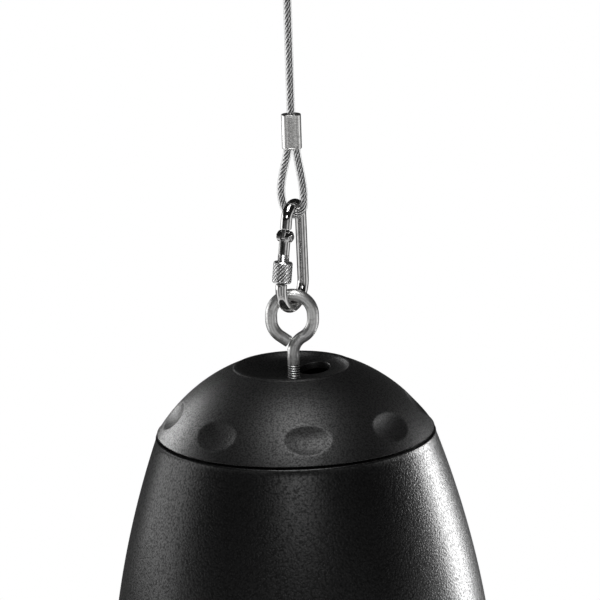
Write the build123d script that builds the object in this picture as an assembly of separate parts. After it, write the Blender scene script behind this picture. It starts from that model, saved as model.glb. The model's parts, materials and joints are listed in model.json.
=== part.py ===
"""Passive pendant loudspeaker on a short wire rope, in millimetres.

The ceiling face is z = 0 and the rope hangs down the Z axis. Everything is below it.
The pieces of the loudspeaker are drawn about their own upright axis, with z = 0 at the
top of the cap's rim, and are then placed under the chain.
"""
import math
import os

from build123d import *

os.makedirs("parts", exist_ok=True)

# Clearances
RUNNING = 0.05
CLEAR = 0.3
SEAM = 0.6
CAP_GAP = 1.2

# Ceiling plate, rope socket and rope
PLATE_RADIUS = 28.0
PLATE_THICKNESS = 4.0
PLATE_HOLES = 3
PLATE_HOLE_CIRCLE = 20.0
PLATE_HOLE_RADIUS = 2.25
PLATE_SINK_RADIUS = 4.4
SOCKET_LENGTH = 21.0
SOCKET_RADIUS = 8.0
SOCKET_WALL = 2.2
ROPE_DIAMETER = 4.7
ROPE_LENGTH = 67.7
STOP_RADIUS = 4.5
STOP_LENGTH = 9.0
FERRULE_WIDTH = 10.6
FERRULE_DEPTH = 7.8
FERRULE_LENGTH = 18.6
FERRULE_BAND = 4.2
EYE_LENGTH = 29.8

# Carabiner, a pear with its wide end down, turned about the upright axis
CARABINER_LENGTH = 61.0
CARABINER_ROD = 6.0
CARABINER_TURN = 61.0
WIDE_BEND = 12.0
NARROW_BEND = 7.75
CHAIN_LEAN = 2.8
GATE_DIAMETER = 5.8
GATE_PIVOT = 26.3
NOSE_HEIGHT = 0.9
NOSE_GAP = 0.5
TONGUE_THICKNESS = 2.2
TONGUE_RADIUS = 2.4
EAR_WIDTH = 7.6
EAR_RADIUS = 3.1
RIVET_RADIUS = 1.0
RIVET_HEAD = 0.7
SLOT_LENGTH = 9.4
SPRING_RADIUS = 1.0
SPRING_WIRE = 0.4
SPRING_TURNS = 6
SLEEVE_DIAMETER = 10.2
SLEEVE_LENGTH = 11.3
SLEEVE_CHAMFER = 0.8

# Eyebolt, bent from one threaded rod
EYE_WIRE = 6.35
EYE_BEND = 11.0
EYE_STRETCH = 2.3
EYE_NECK_BEND = 10.0
EYE_LEAVES = 234.0
EYE_END_GAP = 0.5
EYE_ABOVE_RIM = 27.1
SHANK_BELOW_RIM = 33.0

# Cap, dished on top, with finger dimples and a cable hole
CAP_RADIUS = 73.4
CAP_HEIGHT = 35.4
CAP_WALL = 3.4
CAP_SHOULDER = ((0.541, 0.378), (0.846, 0.746))
RIM_RADIUS = 30.5
RIM_ROUND = 1.6
DISH_DEPTH = 6.4
DISH_FLOOR_SHARE = 0.8
DIMPLES = 8
DIMPLE_FROM_EDGE = 8.8
DIMPLE_WIDTH = 25.0
DIMPLE_HEIGHT = 17.0
DIMPLE_DEPTH = 2.0
DIMPLE_START = -84.6
CABLE_HOLE_RADIUS = 8.7
CABLE_HOLE_OUT = 15.8
CABLE_HOLE_ANGLE = 48.5
CABLE_COLLAR = 2.2
COLLAR_WALL = 2.4
BOSS_RADIUS = 8.0
SPIGOT_WALL = 2.6
SPIGOT_DEPTH = 6.4
LUGS = 3
LUG_ANGLE = 22.0
LUG_HEIGHT = 2.2
LUG_REACH = 0.9
LUG_ENTRY_ROOM = 2.0

# Housing, a parabola of revolution with a deck under the cap
HOUSING_RADIUS = 104.0
HOUSING_HEIGHT = 168.8
HOUSING_WALL = 3.6
LEDGE_WIDTH = 5.4
LEDGE_THICKNESS = 2.0
SEAL_WIDTH = 3.6
SEAL_THICKNESS = 1.8
DECK_BELOW_SEAM = 18.0
DECK_THICKNESS = 4.0
GROOVE_WALL = 2.2
MERGE = 1.5
BAFFLE_BOSSES = 6
BAFFLE_BOSS_TURN = 30.0
BOSS_SIZE = 5.0
BOSS_LENGTH = 24.0
BOSS_HOLE = 20.0
BOSS_INTO_WALL = 1.2

# Suspension bridge and nut under the cap
BRIDGE_WIDTH = 12.0
BRIDGE_THICKNESS = 3.0
BRIDGE_TOP = 16.0
BRIDGE_HALF = 17.0
BRIDGE_FROM_EDGE = 15.4
BRIDGE_FOOT = 16.0
NUT_FLATS = 11.1
NUT_HEIGHT = 5.6
BRIDGE_SCREW = 2.5

# Terminal block and its plug, on the deck
BLOCK_LENGTH = 34.0
BLOCK_WIDTH = 14.0
BLOCK_HEIGHT = 11.0
BLOCK_FROM_EDGE = 23.4
BLOCK_ROUND = 1.5
BLOCK_POLES = 4
BLOCK_PITCH = 7.0
PLUG_HEIGHT = 8.0
PLUG_SEAT = 4.0
PLUG_WIDTH = 10.0
PLUG_EDGE = 0.6
WIRE_PORT_RADIUS = 1.8
CLAMP_PORT_RADIUS = 1.4
CLAMP_PORT_DEPTH = 1.5

# Crossover, hung under the deck
BOARD_LENGTH = 96.0
BOARD_WIDTH = 58.0
BOARD_THICKNESS = 1.6
BOARD_DROP = 7.0
POST_RADIUS = 3.2
POST_FROM_EDGE = 1.5
PART_GAP = 2.0
COIL_FROM_EDGE = 5.0
COIL_GAP = 3.0
BIG_COIL_RADIUS = 16.0
BIG_COIL_HEIGHT = 14.0
SMALL_COIL_RADIUS = 10.0
SMALL_COIL_HEIGHT = 10.0
COIL_BORE = 5.0
COIL_ROUND = 1.2
CAPACITOR_RADIUS = 7.0
CAPACITOR_LENGTH = 26.0
CAPACITOR_ROUND = 1.0
RESISTOR_LENGTH = 24.0
RESISTOR_SIDE = 9.0
RESISTOR_EDGE = 0.8

# Baffle, front ring and grille
BAFFLE_THICKNESS = 9.0
BAFFLE_INSET = 1.4
BAFFLE_SEAL = 1.0
BAFFLE_SEAL_WIDTH = 14.5
BAFFLE_EDGE = 0.5
HEAD_SINK = 3.0
SCREW_ROOM = 0.2
SCREW_BITE = 10.0
FRONT_ROUND = 10.0
FRONT_BAND = 16.0
FRONT_LIP = 1.6
GRILLE_THICKNESS = 1.2
GRILLE_EDGE = 3.6
GRILLE_PITCH = 15.0
GRILLE_HOLE = 5.6
GRILLE_MARGIN = 1.6
CLAMP_HEIGHT = 2.4
CLAMP_WIDTH = 4.0

# Driver
FRAME_MARGIN = 4.0
FRAME_LAP = 9.5
FRAME_FLANGE = 3.0
FRAME_GASKET = 1.0
FRAME_SHEET = 1.8
FRAME_INTO_CUTOUT = 1.5
FRAME_RIM = 8.0
FRAME_NECK_OUT = 6.0
FRAME_SEAT = 8.0
FRAME_SPOKES = 6
WINDOW_ANGLE = 47.0
WINDOW_EDGE = 4.0
SHELF_WIDTH = 6.0
SHELF_THICKNESS = 1.5
DRIVER_SCREWS = 6
SCREW_RADIUS = 2.0
SURROUND_FROM_CUTOUT = 5.5
SURROUND_WIDTH = 11.5
SURROUND_SHEET = 0.8
SURROUND_LAP = 2.0
ROLL_FLAT = 1.0
CONE_DEPTH = 25.0
CONE_SHEET = 0.9
CONE_BOW = 3.0
COIL_RADIUS = 12.6
COIL_INTO_CONE = 1.0
FORMER_WALL = 0.3
WINDING_WALL = 0.5
WINDING_LENGTH = 10.0
POLE_RADIUS = 12.2
PLATE_BORE = 13.8
TOP_PLATE_RADIUS = 38.0
TOP_PLATE_THICKNESS = 6.0
MAGNET_RADIUS = 45.0
MAGNET_HEIGHT = 18.0
MAGNET_BORE_OUT = 4.0
MAGNET_EDGE = 0.8
BACK_PLATE_INSET = 4.0
BACK_PLATE_THICKNESS = 6.0
BACK_PLATE_EDGE = 2.0
SPIDER_OUT = 34.0
SPIDER_SHEET = 0.7
SPIDER_WAVES = 4
SPIDER_WAVE = 1.4
SPIDER_FLAT = 2.0
SPIDER_ABOVE_NECK = 4.0
PLATE_ABOVE_SPIDER = 8.0
TWEETER_IN_CONE = 12.0
TWEETER_RADIUS = 15.0
TWEETER_HEIGHT = 12.0
TWEETER_ROUND = 4.0
TWEETER_DOME = 12.5
TWEETER_BOWL = 5.0
DOME_BACK = 4.8
DOME_EDGE = 4.0
DOME_MIDDLE = 1.6
DOME_LOW = 0.6
TWEETER_POST = 4.0
TWEETER_STEM = 3.0
LINING_THICKNESS = 10.0
LINING_BELOW_DECK = 34.0
LINING_OVER_BOSSES = 4.0

# Levels of the chain, from the ceiling down
rope_exit = -(PLATE_THICKNESS + SOCKET_LENGTH)
ferrule_top = rope_exit - ROPE_LENGTH
ferrule_bottom = ferrule_top - FERRULE_LENGTH
carabiner_top = ferrule_bottom - EYE_LENGTH
carabiner_centres = CARABINER_LENGTH - CARABINER_ROD
carabiner_bottom = carabiner_top - math.sqrt(carabiner_centres**2 - CHAIN_LEAN**2)
eye_centre = carabiner_bottom - (EYE_BEND - EYE_WIRE / 2 - CARABINER_ROD / 2 - CLEAR)
rim_level = eye_centre - EYE_ABOVE_RIM
eye_bend_of_rope = CARABINER_ROD / 2 + CLEAR + ROPE_DIAMETER / 2

# Levels of the loudspeaker, below the rim
seam = -CAP_HEIGHT
housing_top = seam - CAP_GAP
ledge_top = seam - SPIGOT_DEPTH - SEAL_THICKNESS
housing_end = housing_top - HOUSING_HEIGHT
housing_edge = CAP_RADIUS + 0.1
deck_top = seam - DECK_BELOW_SEAM
deck_bottom = deck_top - DECK_THICKNESS
baffle_bottom = housing_end + BAFFLE_INSET
baffle_top = baffle_bottom + BAFFLE_THICKNESS
flange_top = baffle_bottom - FRAME_GASKET
flange_bottom = flange_top - FRAME_FLANGE
front_bottom = housing_end - SEAM - FRONT_ROUND
grille_bottom = front_bottom + FRONT_LIP

# What follows the cap's radius
dimple_circle = CAP_RADIUS - DIMPLE_FROM_EDGE
block_out = CAP_RADIUS - BLOCK_FROM_EDGE
bridge_foot_out = CAP_RADIUS - BRIDGE_FROM_EDGE
bridge_foot_in = bridge_foot_out - BRIDGE_FOOT
bridge_screw_out = (bridge_foot_in + bridge_foot_out + 2) / 2

# What follows the housing's radius
front_opening = HOUSING_RADIUS - FRONT_BAND
grille_radius = front_opening + GRILLE_EDGE
frame_radius = front_opening - FRAME_MARGIN
driver_cutout = frame_radius - FRAME_LAP
driver_screw_circle = (frame_radius + driver_cutout) / 2
frame_rim = driver_cutout - FRAME_INTO_CUTOUT
frame_neck = TOP_PLATE_RADIUS + FRAME_NECK_OUT
surround_out = driver_cutout - SURROUND_FROM_CUTOUT
surround_in = surround_out - SURROUND_WIDTH
roll_radius = SURROUND_WIDTH / 2 - ROLL_FLAT
roll_centre = (surround_out + surround_in) / 2
surround_edge = frame_rim - FRAME_SHEET - CLEAR
cone_neck = COIL_RADIUS + FORMER_WALL

# Levels inside the driver
cone_edge_level = flange_top + SURROUND_SHEET
cone_neck_level = cone_edge_level + CONE_DEPTH
spider_level = cone_neck_level + SPIDER_ABOVE_NECK
top_plate_bottom = spider_level + PLATE_ABOVE_SPIDER
top_plate_top = top_plate_bottom + TOP_PLATE_THICKNESS
magnet_top = top_plate_top + MAGNET_HEIGHT
tweeter_top = cone_edge_level + TWEETER_IN_CONE
tweeter_bottom = tweeter_top - TWEETER_HEIGHT

# The board's parts: two columns beside the big coil
board_bottom = deck_bottom - BOARD_DROP - BOARD_THICKNESS
big_coil_x = -BOARD_LENGTH / 4
big_coil_y = -BOARD_WIDTH / 2 + BIG_COIL_RADIUS + COIL_FROM_EDGE
middle_x = big_coil_x + BIG_COIL_RADIUS + CAPACITOR_LENGTH / 2 + COIL_GAP
small_coil_x = middle_x + CAPACITOR_LENGTH / 2 + SMALL_COIL_RADIUS + PART_GAP
first_y = -BOARD_WIDTH / 2 + CAPACITOR_RADIUS + 3 * PART_GAP
second_y = first_y + 2 * CAPACITOR_RADIUS + 2 * PART_GAP
resistor_y = second_y + CAPACITOR_RADIUS + RESISTOR_SIDE / 2 + 2 * PART_GAP

bridge_turn = CABLE_HOLE_ANGLE + 90
speaker = Pos(-CHAIN_LEAN, 0, rim_level)
hole_centre = (
    CABLE_HOLE_OUT * math.cos(math.radians(CABLE_HOLE_ANGLE)),
    CABLE_HOLE_OUT * math.sin(math.radians(CABLE_HOLE_ANGLE)),
)


def inner_radius(level):
    """The housing's inner radius at a level."""
    share = (housing_top - level) / HOUSING_HEIGHT
    return HOUSING_RADIUS - (HOUSING_RADIUS - housing_edge) * (1 - share) ** 2 - HOUSING_WALL


boss_circle = inner_radius(baffle_top) - BOSS_SIZE + BOSS_INTO_WALL
baffle_radius = inner_radius(baffle_top) - BAFFLE_EDGE


def save(name, shape, place=speaker):
    """Writes one piece at its place."""
    solids = [place * solid for solid in shape.solids()]
    whole = solids[0] if len(solids) == 1 else Compound(children=solids)
    whole.label = name
    export_step(whole, f"parts/{name}.step")


def ring(inner, outer, bottom, top):
    """A disc, or a ring where inner is more than zero."""
    section = Pos((inner + outer) / 2, (bottom + top) / 2) * Rectangle(outer - inner, top - bottom)
    return revolve(Plane.XZ * section, Axis.Z)


def turned(edges):
    """The solid that a closed half outline makes when it is turned about the axis."""
    return revolve(make_face(Plane.XZ * (Curve() + edges)), Axis.Z)


def inset(curve, wall, count=7):
    """The curve moved to its right-hand side by one wall."""
    points = []
    for step in range(count):
        share = step / (count - 1)
        along = curve % share
        points.append(curve @ share + Vector(along.Y, -along.X) * wall)
    return Spline(points, tangents=[curve % 0, curve % 1])


def around(count, radius, shape, start=0.0):
    """Copies of a shape spread evenly about the axis."""
    return [Rot(0, 0, start + 360 / count * k) * Pos(radius, 0, 0) * shape for k in range(count)]


def wedge(angle, turn=0.0):
    """A tall slice of the space about the axis, one angle wide."""
    reach = 2 * HOUSING_RADIUS
    half = reach * math.tan(math.radians(angle / 2))
    face = make_face(Polyline((0, 0), (reach, -half), (reach, half), (0, 0)))
    return Rot(0, 0, turn) * extrude(face, 2 * reach, both=True)


def pan_screw(shank_radius, length):
    """A pan-head screw with its head up and its seat at z = 0."""
    head = Cylinder(shank_radius * 1.9, shank_radius * 1.3, align=(Align.CENTER, Align.CENTER, Align.MIN))
    head = fillet(head.edges().group_by(Axis.Z)[-1], shank_radius * 0.6)
    cross = Pos(0, 0, shank_radius * 1.3) * (
        Box(shank_radius * 2, shank_radius * 0.4, shank_radius)
        + Box(shank_radius * 0.4, shank_radius * 2, shank_radius)
    )
    shank = Cylinder(shank_radius, length, align=(Align.CENTER, Align.CENTER, Align.MAX))
    return head - cross + shank


def ceiling_plate():
    """Round plate with countersunk holes and a threaded boss for the socket."""
    plate = ring(0, PLATE_RADIUS, -PLATE_THICKNESS, 0)
    plate = fillet(plate.edges().group_by(Axis.Z)[0], 1.2)
    sink = PLATE_SINK_RADIUS - PLATE_HOLE_RADIUS
    hole = Cylinder(PLATE_HOLE_RADIUS, 3 * PLATE_THICKNESS)
    cone = Pos(0, 0, -PLATE_THICKNESS) * Cone(
        PLATE_SINK_RADIUS, PLATE_HOLE_RADIUS, sink, align=(Align.CENTER, Align.CENTER, Align.MIN)
    )
    for cut in around(PLATE_HOLES, PLATE_HOLE_CIRCLE, hole + cone, 90):
        plate -= cut
    return plate


def rope_socket():
    """Cap nut that holds the rope's end stop against the ceiling plate."""
    body = ring(0, SOCKET_RADIUS, rope_exit, -PLATE_THICKNESS)
    body = chamfer(body.edges().group_by(Axis.Z)[0], 2.0)
    flats = Rectangle(4 * SOCKET_RADIUS, 4 * SOCKET_RADIUS) - Rectangle(
        1.75 * SOCKET_RADIUS, 4 * SOCKET_RADIUS
    )
    body -= Pos(0, 0, -PLATE_THICKNESS - 7) * extrude(flats, 6)
    body -= ring(0, SOCKET_RADIUS - SOCKET_WALL, rope_exit + 5, -PLATE_THICKNESS)
    body -= ring(0, ROPE_DIAMETER / 2 + RUNNING, rope_exit - 1, rope_exit + 6)
    return body


def rope_stop():
    """Pressed stop on the rope's end, with the rope's last stretch down to the socket's mouth."""
    top = rope_exit + 5 + CLEAR + STOP_LENGTH
    stop = ring(0, STOP_RADIUS, top - STOP_LENGTH, top)
    stop = chamfer(stop.edges().group_by(Axis.Z)[0], 1.0)
    return stop + ring(0, ROPE_DIAMETER / 2, rope_exit, top - STOP_LENGTH)


def ferrule():
    """Pressed oval sleeve with two shallow press bands, which closes the rope's eye."""
    oval = SlotOverall(FERRULE_WIDTH, FERRULE_DEPTH)
    body = extrude(oval, FERRULE_LENGTH)
    body = chamfer(body.edges().group_by(Axis.Z)[0], 0.8)
    body = chamfer(body.edges().group_by(Axis.Z)[-1], 0.8)
    band = extrude(
        SlotOverall(3 * FERRULE_WIDTH, 3 * FERRULE_DEPTH)
        - SlotOverall(FERRULE_WIDTH - 0.7, FERRULE_DEPTH - 0.7),
        FERRULE_BAND,
    )
    for share in (0.28, 0.72):
        body -= Pos(0, 0, share * FERRULE_LENGTH - FERRULE_BAND / 2) * band
    return Pos(0, 0, ferrule_bottom) * Rot(0, 0, CARABINER_TURN - 90) * body


def rope_eye():
    """The rope's teardrop loop, which goes under the carabiner's narrow bend."""
    start = ROPE_DIAMETER / 2 + RUNNING
    lean = math.asin((eye_bend_of_rope - start) / EYE_LENGTH)
    side = (eye_bend_of_rope * math.cos(lean), eye_bend_of_rope * math.sin(lean))
    rise = EYE_LENGTH + 2.0
    top = side[0] - (rise - side[1]) * math.tan(lean)
    path = Line((top, rise), side)
    path += ThreePointArc(side, (0, -eye_bend_of_rope), (-side[0], side[1]))
    path += Line((-side[0], side[1]), (-top, rise))
    path = Plane.XZ * path
    tube = sweep(Plane(path @ 0, z_dir=path % 0) * Circle(ROPE_DIAMETER / 2), path)
    room = 2 * EYE_LENGTH
    ceiling = Pos(0, 0, EYE_LENGTH + room / 2) * Box(room, room, room)
    return Pos(0, 0, carabiner_top) * Rot(0, 0, CARABINER_TURN - 90) * (tube - ceiling)


# The carabiner is drawn in its own plane: x across it towards the spine, y up it from the
# centre of the rod at the wide bend, z out of the plane.
across = Vector(math.cos(math.radians(CARABINER_TURN)), math.sin(math.radians(CARABINER_TURN)), 0)
up_it = Vector(CHAIN_LEAN, 0, carabiner_top - carabiner_bottom).normalized()
across = (across - up_it * across.dot(up_it)).normalized()
carabiner_plane = Plane(
    origin=(-CHAIN_LEAN, 0, carabiner_bottom), x_dir=across, z_dir=across.cross(up_it)
)
bend_spacing = carabiner_centres - WIDE_BEND - NARROW_BEND
side_lean = math.asin((WIDE_BEND - NARROW_BEND) / bend_spacing)
outwards = Vector(math.cos(side_lean), math.sin(side_lean))
wide_centre = Vector(0, WIDE_BEND)
narrow_centre = Vector(0, carabiner_centres - NARROW_BEND)
gate_foot = wide_centre + Vector(-outwards.X, outwards.Y) * WIDE_BEND
gate_head = narrow_centre + Vector(-outwards.X, outwards.Y) * NARROW_BEND
gate_way = (gate_head - gate_foot).normalized()
# The gate's own frame: z up along it, x towards the spine, y out of the carabiner's plane
gate_frame = carabiner_plane.location * Plane(
    origin=gate_foot, x_dir=(gate_way.Y, -gate_way.X, 0), z_dir=gate_way
).location
shoulder = GATE_PIVOT + EAR_RADIUS + 2 * CLEAR
gate_bottom = NOSE_HEIGHT + NOSE_GAP
sleeve_bottom = gate_bottom + CLEAR
slot_bottom = GATE_PIVOT - SLOT_LENGTH
slot_width = TONGUE_THICKNESS + 2 * CLEAR


def carabiner_body():
    """One bent rod from the nose round to the shoulder, with a flat tongue for the gate."""
    nose = gate_foot + gate_way * NOSE_HEIGHT
    spine_foot = wide_centre + outwards * WIDE_BEND
    spine_head = narrow_centre + outwards * NARROW_BEND
    end = gate_foot + gate_way * shoulder
    path = Line(nose, gate_foot)
    path += ThreePointArc(gate_foot, (0, 0), spine_foot)
    path += Line(spine_foot, spine_head)
    path += ThreePointArc(spine_head, (0, carabiner_centres), gate_head)
    path += Line(gate_head, end)
    rod = sweep(Plane(path @ 0, z_dir=path % 0) * Circle(CARABINER_ROD / 2), path)
    tongue = Pos(0, 0, (shoulder + GATE_PIVOT) / 2 + 0.5) * Box(
        2 * TONGUE_RADIUS, TONGUE_THICKNESS, shoulder - GATE_PIVOT + 1
    )
    tongue += Pos(0, 0, GATE_PIVOT) * Rot(90, 0, 0) * Cylinder(TONGUE_RADIUS, TONGUE_THICKNESS)
    tongue -= Pos(0, 0, GATE_PIVOT) * Rot(90, 0, 0) * Cylinder(RIVET_RADIUS + RUNNING / 2, 20)
    return carabiner_plane.location * rod + gate_frame * tongue


def carabiner_gate():
    """Forked gate whose two ears straddle the tongue."""
    length = GATE_PIVOT - gate_bottom
    rod = Pos(0, 0, gate_bottom) * Cylinder(
        GATE_DIAMETER / 2, length, align=(Align.CENTER, Align.CENTER, Align.MIN)
    )
    rod = chamfer(rod.edges().group_by(Axis.Z)[0], 0.5)
    ear = Rot(90, 0, 0) * Cylinder(EAR_RADIUS, EAR_WIDTH)
    ear = chamfer(ear.edges().filter_by(GeomType.CIRCLE), 0.5)
    gate = rod + Pos(0, 0, GATE_PIVOT) * ear
    gate -= Pos(0, 0, slot_bottom) * Box(
        20, slot_width, 20, align=(Align.CENTER, Align.CENTER, Align.MIN)
    )
    gate -= Pos(0, 0, GATE_PIVOT) * Rot(90, 0, 0) * Cylinder(RIVET_RADIUS + RUNNING, 20)
    return gate


def gate_rivet():
    """Headed pin through the tongue and both ears."""
    half = EAR_WIDTH / 2 + RUNNING
    pin = Cylinder(RIVET_RADIUS, 2 * half)
    head = Cylinder(1.8 * RIVET_RADIUS, RIVET_HEAD, align=(Align.CENTER, Align.CENTER, Align.MIN))
    head = fillet(head.edges().group_by(Axis.Z)[-1], 0.5 * RIVET_HEAD)
    pin += Pos(0, 0, half) * head
    pin += Rot(180, 0, 0) * Pos(0, 0, half) * head
    return Pos(0, 0, GATE_PIVOT) * Rot(90, 0, 0) * pin


def gate_spring():
    """Coil spring in the gate's slot, between the slot's floor and the tongue."""
    room = GATE_PIVOT - TONGUE_RADIUS - CLEAR - slot_bottom - SPRING_WIRE
    coil = Helix(room / SPRING_TURNS, room, SPRING_RADIUS - SPRING_WIRE / 2)
    section = Plane(coil @ 0, z_dir=coil % 0) * Circle(SPRING_WIRE / 2)
    return Pos(0, 0, slot_bottom + SPRING_WIRE / 2 + 0.02) * sweep(section, coil, is_frenet=True)


def locking_sleeve():
    """Sleeve that screws along the gate and locks it over the nose."""
    sleeve = ring(GATE_DIAMETER / 2 + CLEAR, SLEEVE_DIAMETER / 2, 0, SLEEVE_LENGTH)
    outer = sleeve.edges().filter_by(GeomType.CIRCLE)
    outer = outer.filter_by(lambda edge: edge.radius > SLEEVE_DIAMETER / 2 - 0.1)
    return Pos(0, 0, sleeve_bottom) * chamfer(outer, SLEEVE_CHAMFER)


def eyebolt():
    """One rod: a shank, a neck that bends away, an open oval ring and a straight cut end."""
    low = EYE_ABOVE_RIM - EYE_STRETCH
    neck = low - math.sqrt((EYE_NECK_BEND + EYE_BEND) ** 2 - EYE_NECK_BEND**2)
    rise = math.degrees(math.atan2(low - neck, EYE_NECK_BEND))
    leave = math.radians(EYE_LEAVES)
    leaves = Vector(EYE_BEND * math.cos(leave), low + EYE_BEND * math.sin(leave))
    heading = Vector(-math.sin(leave), math.cos(leave))
    # The end stops where its upper corner would come within the gap of the neck's left side
    tail = 0.0
    while tail < 2 * EYE_BEND:
        corner = leaves + heading * tail + Vector(-heading.Y, heading.X) * (EYE_WIRE / 2)
        centre = math.hypot(corner.X - EYE_NECK_BEND, corner.Y - neck)
        if centre < EYE_NECK_BEND + EYE_WIRE / 2 + EYE_END_GAP:
            break
        tail += 0.1
    path = Line((0, -SHANK_BELOW_RIM), (0, neck))
    path += CenterArc((EYE_NECK_BEND, neck), EYE_NECK_BEND, 180, -rise)
    path += CenterArc((0, low), EYE_BEND, -rise, rise)
    path += Line((EYE_BEND, low), (EYE_BEND, EYE_ABOVE_RIM))
    path += CenterArc((0, EYE_ABOVE_RIM), EYE_BEND, 0, 180)
    path += Line((-EYE_BEND, EYE_ABOVE_RIM), (-EYE_BEND, low))
    path += CenterArc((0, low), EYE_BEND, 180, EYE_LEAVES - 180)
    path += Line(leaves, leaves + heading * tail)
    path = Plane.XZ * path
    rod = sweep(Plane(path @ 0, z_dir=path % 0) * Circle(EYE_WIRE / 2), path)
    return chamfer(rod.edges().group_by(Axis.Z)[0], 0.8)


def cap_outline():
    """The cap's dish, rim and shoulder, from the axis out to the seam."""
    dish_edge = RIM_RADIUS - RIM_ROUND
    drop = RIM_ROUND * 0.4
    dish = Bezier((0, -DISH_DEPTH), (DISH_FLOOR_SHARE * dish_edge, -DISH_DEPTH), (dish_edge, -drop))
    rim = ThreePointArc((dish_edge, -drop), (RIM_RADIUS, 0), (RIM_RADIUS + RIM_ROUND, -drop))
    span = CAP_RADIUS - RIM_RADIUS
    points = [(RIM_RADIUS + RIM_ROUND, -drop)]
    points += [(RIM_RADIUS + out * span, -down * CAP_HEIGHT) for out, down in CAP_SHOULDER]
    points += [(CAP_RADIUS, seam)]
    return dish, rim, Spline(points)


def dimple():
    """Spindle that cuts one finger dimple: an arc turned about a line along the dimple."""
    across_radius = ((DIMPLE_HEIGHT / 2) ** 2 + DIMPLE_DEPTH**2) / (2 * DIMPLE_DEPTH)
    along_radius = ((DIMPLE_WIDTH / 2) ** 2 + DIMPLE_DEPTH**2) / (2 * DIMPLE_DEPTH)
    centre = across_radius - along_radius
    half = math.sqrt(along_radius**2 - centre**2)
    arc = ThreePointArc((-half, 0), (0, across_radius), (half, 0))
    spindle = revolve(make_face(Curve() + [arc, Line((half, 0), (-half, 0))]), Axis.X)
    return Pos(0, 0, across_radius - DIMPLE_DEPTH) * spindle


def top_cap():
    """Dished cap with finger dimples, a cable hole, a spigot and bayonet lugs."""
    dish, rim, shoulder_curve = cap_outline()
    inner_dish = inset(dish, CAP_WALL)
    inner_shoulder = inset(shoulder_curve, CAP_WALL)
    outline = [dish, rim, shoulder_curve]
    outline += [Line(shoulder_curve @ 1, inner_shoulder @ 1), inner_shoulder]
    outline += [Line(inner_shoulder @ 0, inner_dish @ 1), inner_dish]
    outline += [Line(inner_dish @ 0, dish @ 0)]
    cap = turned(outline)
    cap -= ring(0, CAP_RADIUS + 10, seam - 10, seam)
    bore = housing_edge - HOUSING_WALL - CLEAR
    cap += ring(bore - SPIGOT_WALL, bore, seam - SPIGOT_DEPTH, seam + 4.0)
    lug_bottom = seam - SPIGOT_DEPTH
    lug = ring(bore - SPIGOT_WALL, bore + LUG_REACH, lug_bottom, lug_bottom + LUG_HEIGHT)
    for turn in range(LUGS):
        cap += lug & wedge(LUG_ANGLE, 360 / LUGS * turn)
    boss_bottom = -BRIDGE_TOP + CLEAR
    cap += ring(0, BOSS_RADIUS, boss_bottom, -DISH_DEPTH - CAP_WALL / 2)
    collar_bottom = -DISH_DEPTH - CAP_WALL - CABLE_COLLAR
    collar_top = -DISH_DEPTH - CAP_WALL / 2
    cap += Pos(*hole_centre, (collar_bottom + collar_top) / 2) * Cylinder(
        CABLE_HOLE_RADIUS + COLLAR_WALL, collar_top - collar_bottom
    )
    cap -= ring(0, EYE_WIRE / 2 + CLEAR, boss_bottom - 1, 0)
    cap -= Pos(*hole_centre, collar_bottom) * Cylinder(CABLE_HOLE_RADIUS, -4 * collar_bottom)
    shares = [k / 200 for k in range(201)]
    share = min(shares, key=lambda k: abs((shoulder_curve @ k).X - dimple_circle))
    middle = shoulder_curve @ share
    along = shoulder_curve % share
    slope = math.degrees(math.atan2(-along.Y, along.X))
    for turn in range(DIMPLES):
        place = Rot(0, 0, DIMPLE_START + 360 / DIMPLES * turn - 90) * Pos(middle.X, 0, middle.Y)
        cap -= place * Rot(0, slope, 0) * Rot(0, 0, 90) * dimple()
    return cap


def housing_curve():
    """The housing's side, a parabola that is upright at its lower end."""
    return Bezier(
        (housing_edge, housing_top),
        (HOUSING_RADIUS, housing_top - HOUSING_HEIGHT / 2),
        (HOUSING_RADIUS, housing_end),
    )


def housing():
    """Flared shell with a deck, a seal ledge, a bayonet groove and bosses for the baffle."""
    outer = housing_curve()
    inner = inset(outer, HOUSING_WALL)
    corner = ((inner @ 0).X, housing_top)
    shell = turned([
        outer, Line(outer @ 1, inner @ 1), inner, Line(inner @ 0, corner), Line(corner, outer @ 0)
    ])
    rim_bore = housing_edge - HOUSING_WALL
    lug_top = seam - SPIGOT_DEPTH + LUG_HEIGHT + CLEAR
    ledge_out = inner_radius(ledge_top) + MERGE
    shell += ring(rim_bore - LEDGE_WIDTH, ledge_out, ledge_top - LEDGE_THICKNESS, ledge_top)
    collar = ring(rim_bore, rim_bore + GROOVE_WALL, lug_top, housing_top)
    for turn in range(LUGS):
        entry = wedge(LUG_ANGLE + LUG_ENTRY_ROOM, 360 / LUGS * (turn + 0.5))
        collar -= entry & ring(0, rim_bore + GROOVE_WALL - CLEAR, lug_top - 1, housing_top + 1)
    shell += collar
    shell += ring(0, inner_radius(deck_top) + MERGE, deck_bottom, deck_top)
    base = Pos(0, 0, baffle_top + BAFFLE_SEAL)
    for boss in bosses(BOSS_SIZE, BOSS_LENGTH):
        shell += base * boss
    for hole in bosses(SCREW_RADIUS + RUNNING, BOSS_HOLE):
        shell -= base * hole
    screw_hole = Cylinder(BRIDGE_SCREW + RUNNING, 4 * DECK_THICKNESS)
    for hole in around(2, bridge_screw_out, screw_hole, bridge_turn):
        shell -= Pos(0, 0, deck_top) * hole
    return shell


def bosses(radius, height):
    """Upright cylinders on the circle of the baffle's screws."""
    pin = Cylinder(radius, height, align=(Align.CENTER, Align.CENTER, Align.MIN))
    return around(BAFFLE_BOSSES, boss_circle, pin, BAFFLE_BOSS_TURN)


def seal_ring():
    """Foam ring on the housing's ledge, under the cap's spigot."""
    outer = housing_edge - HOUSING_WALL - CLEAR
    return ring(outer - SEAL_WIDTH, outer, ledge_top, seam - SPIGOT_DEPTH)


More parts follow.
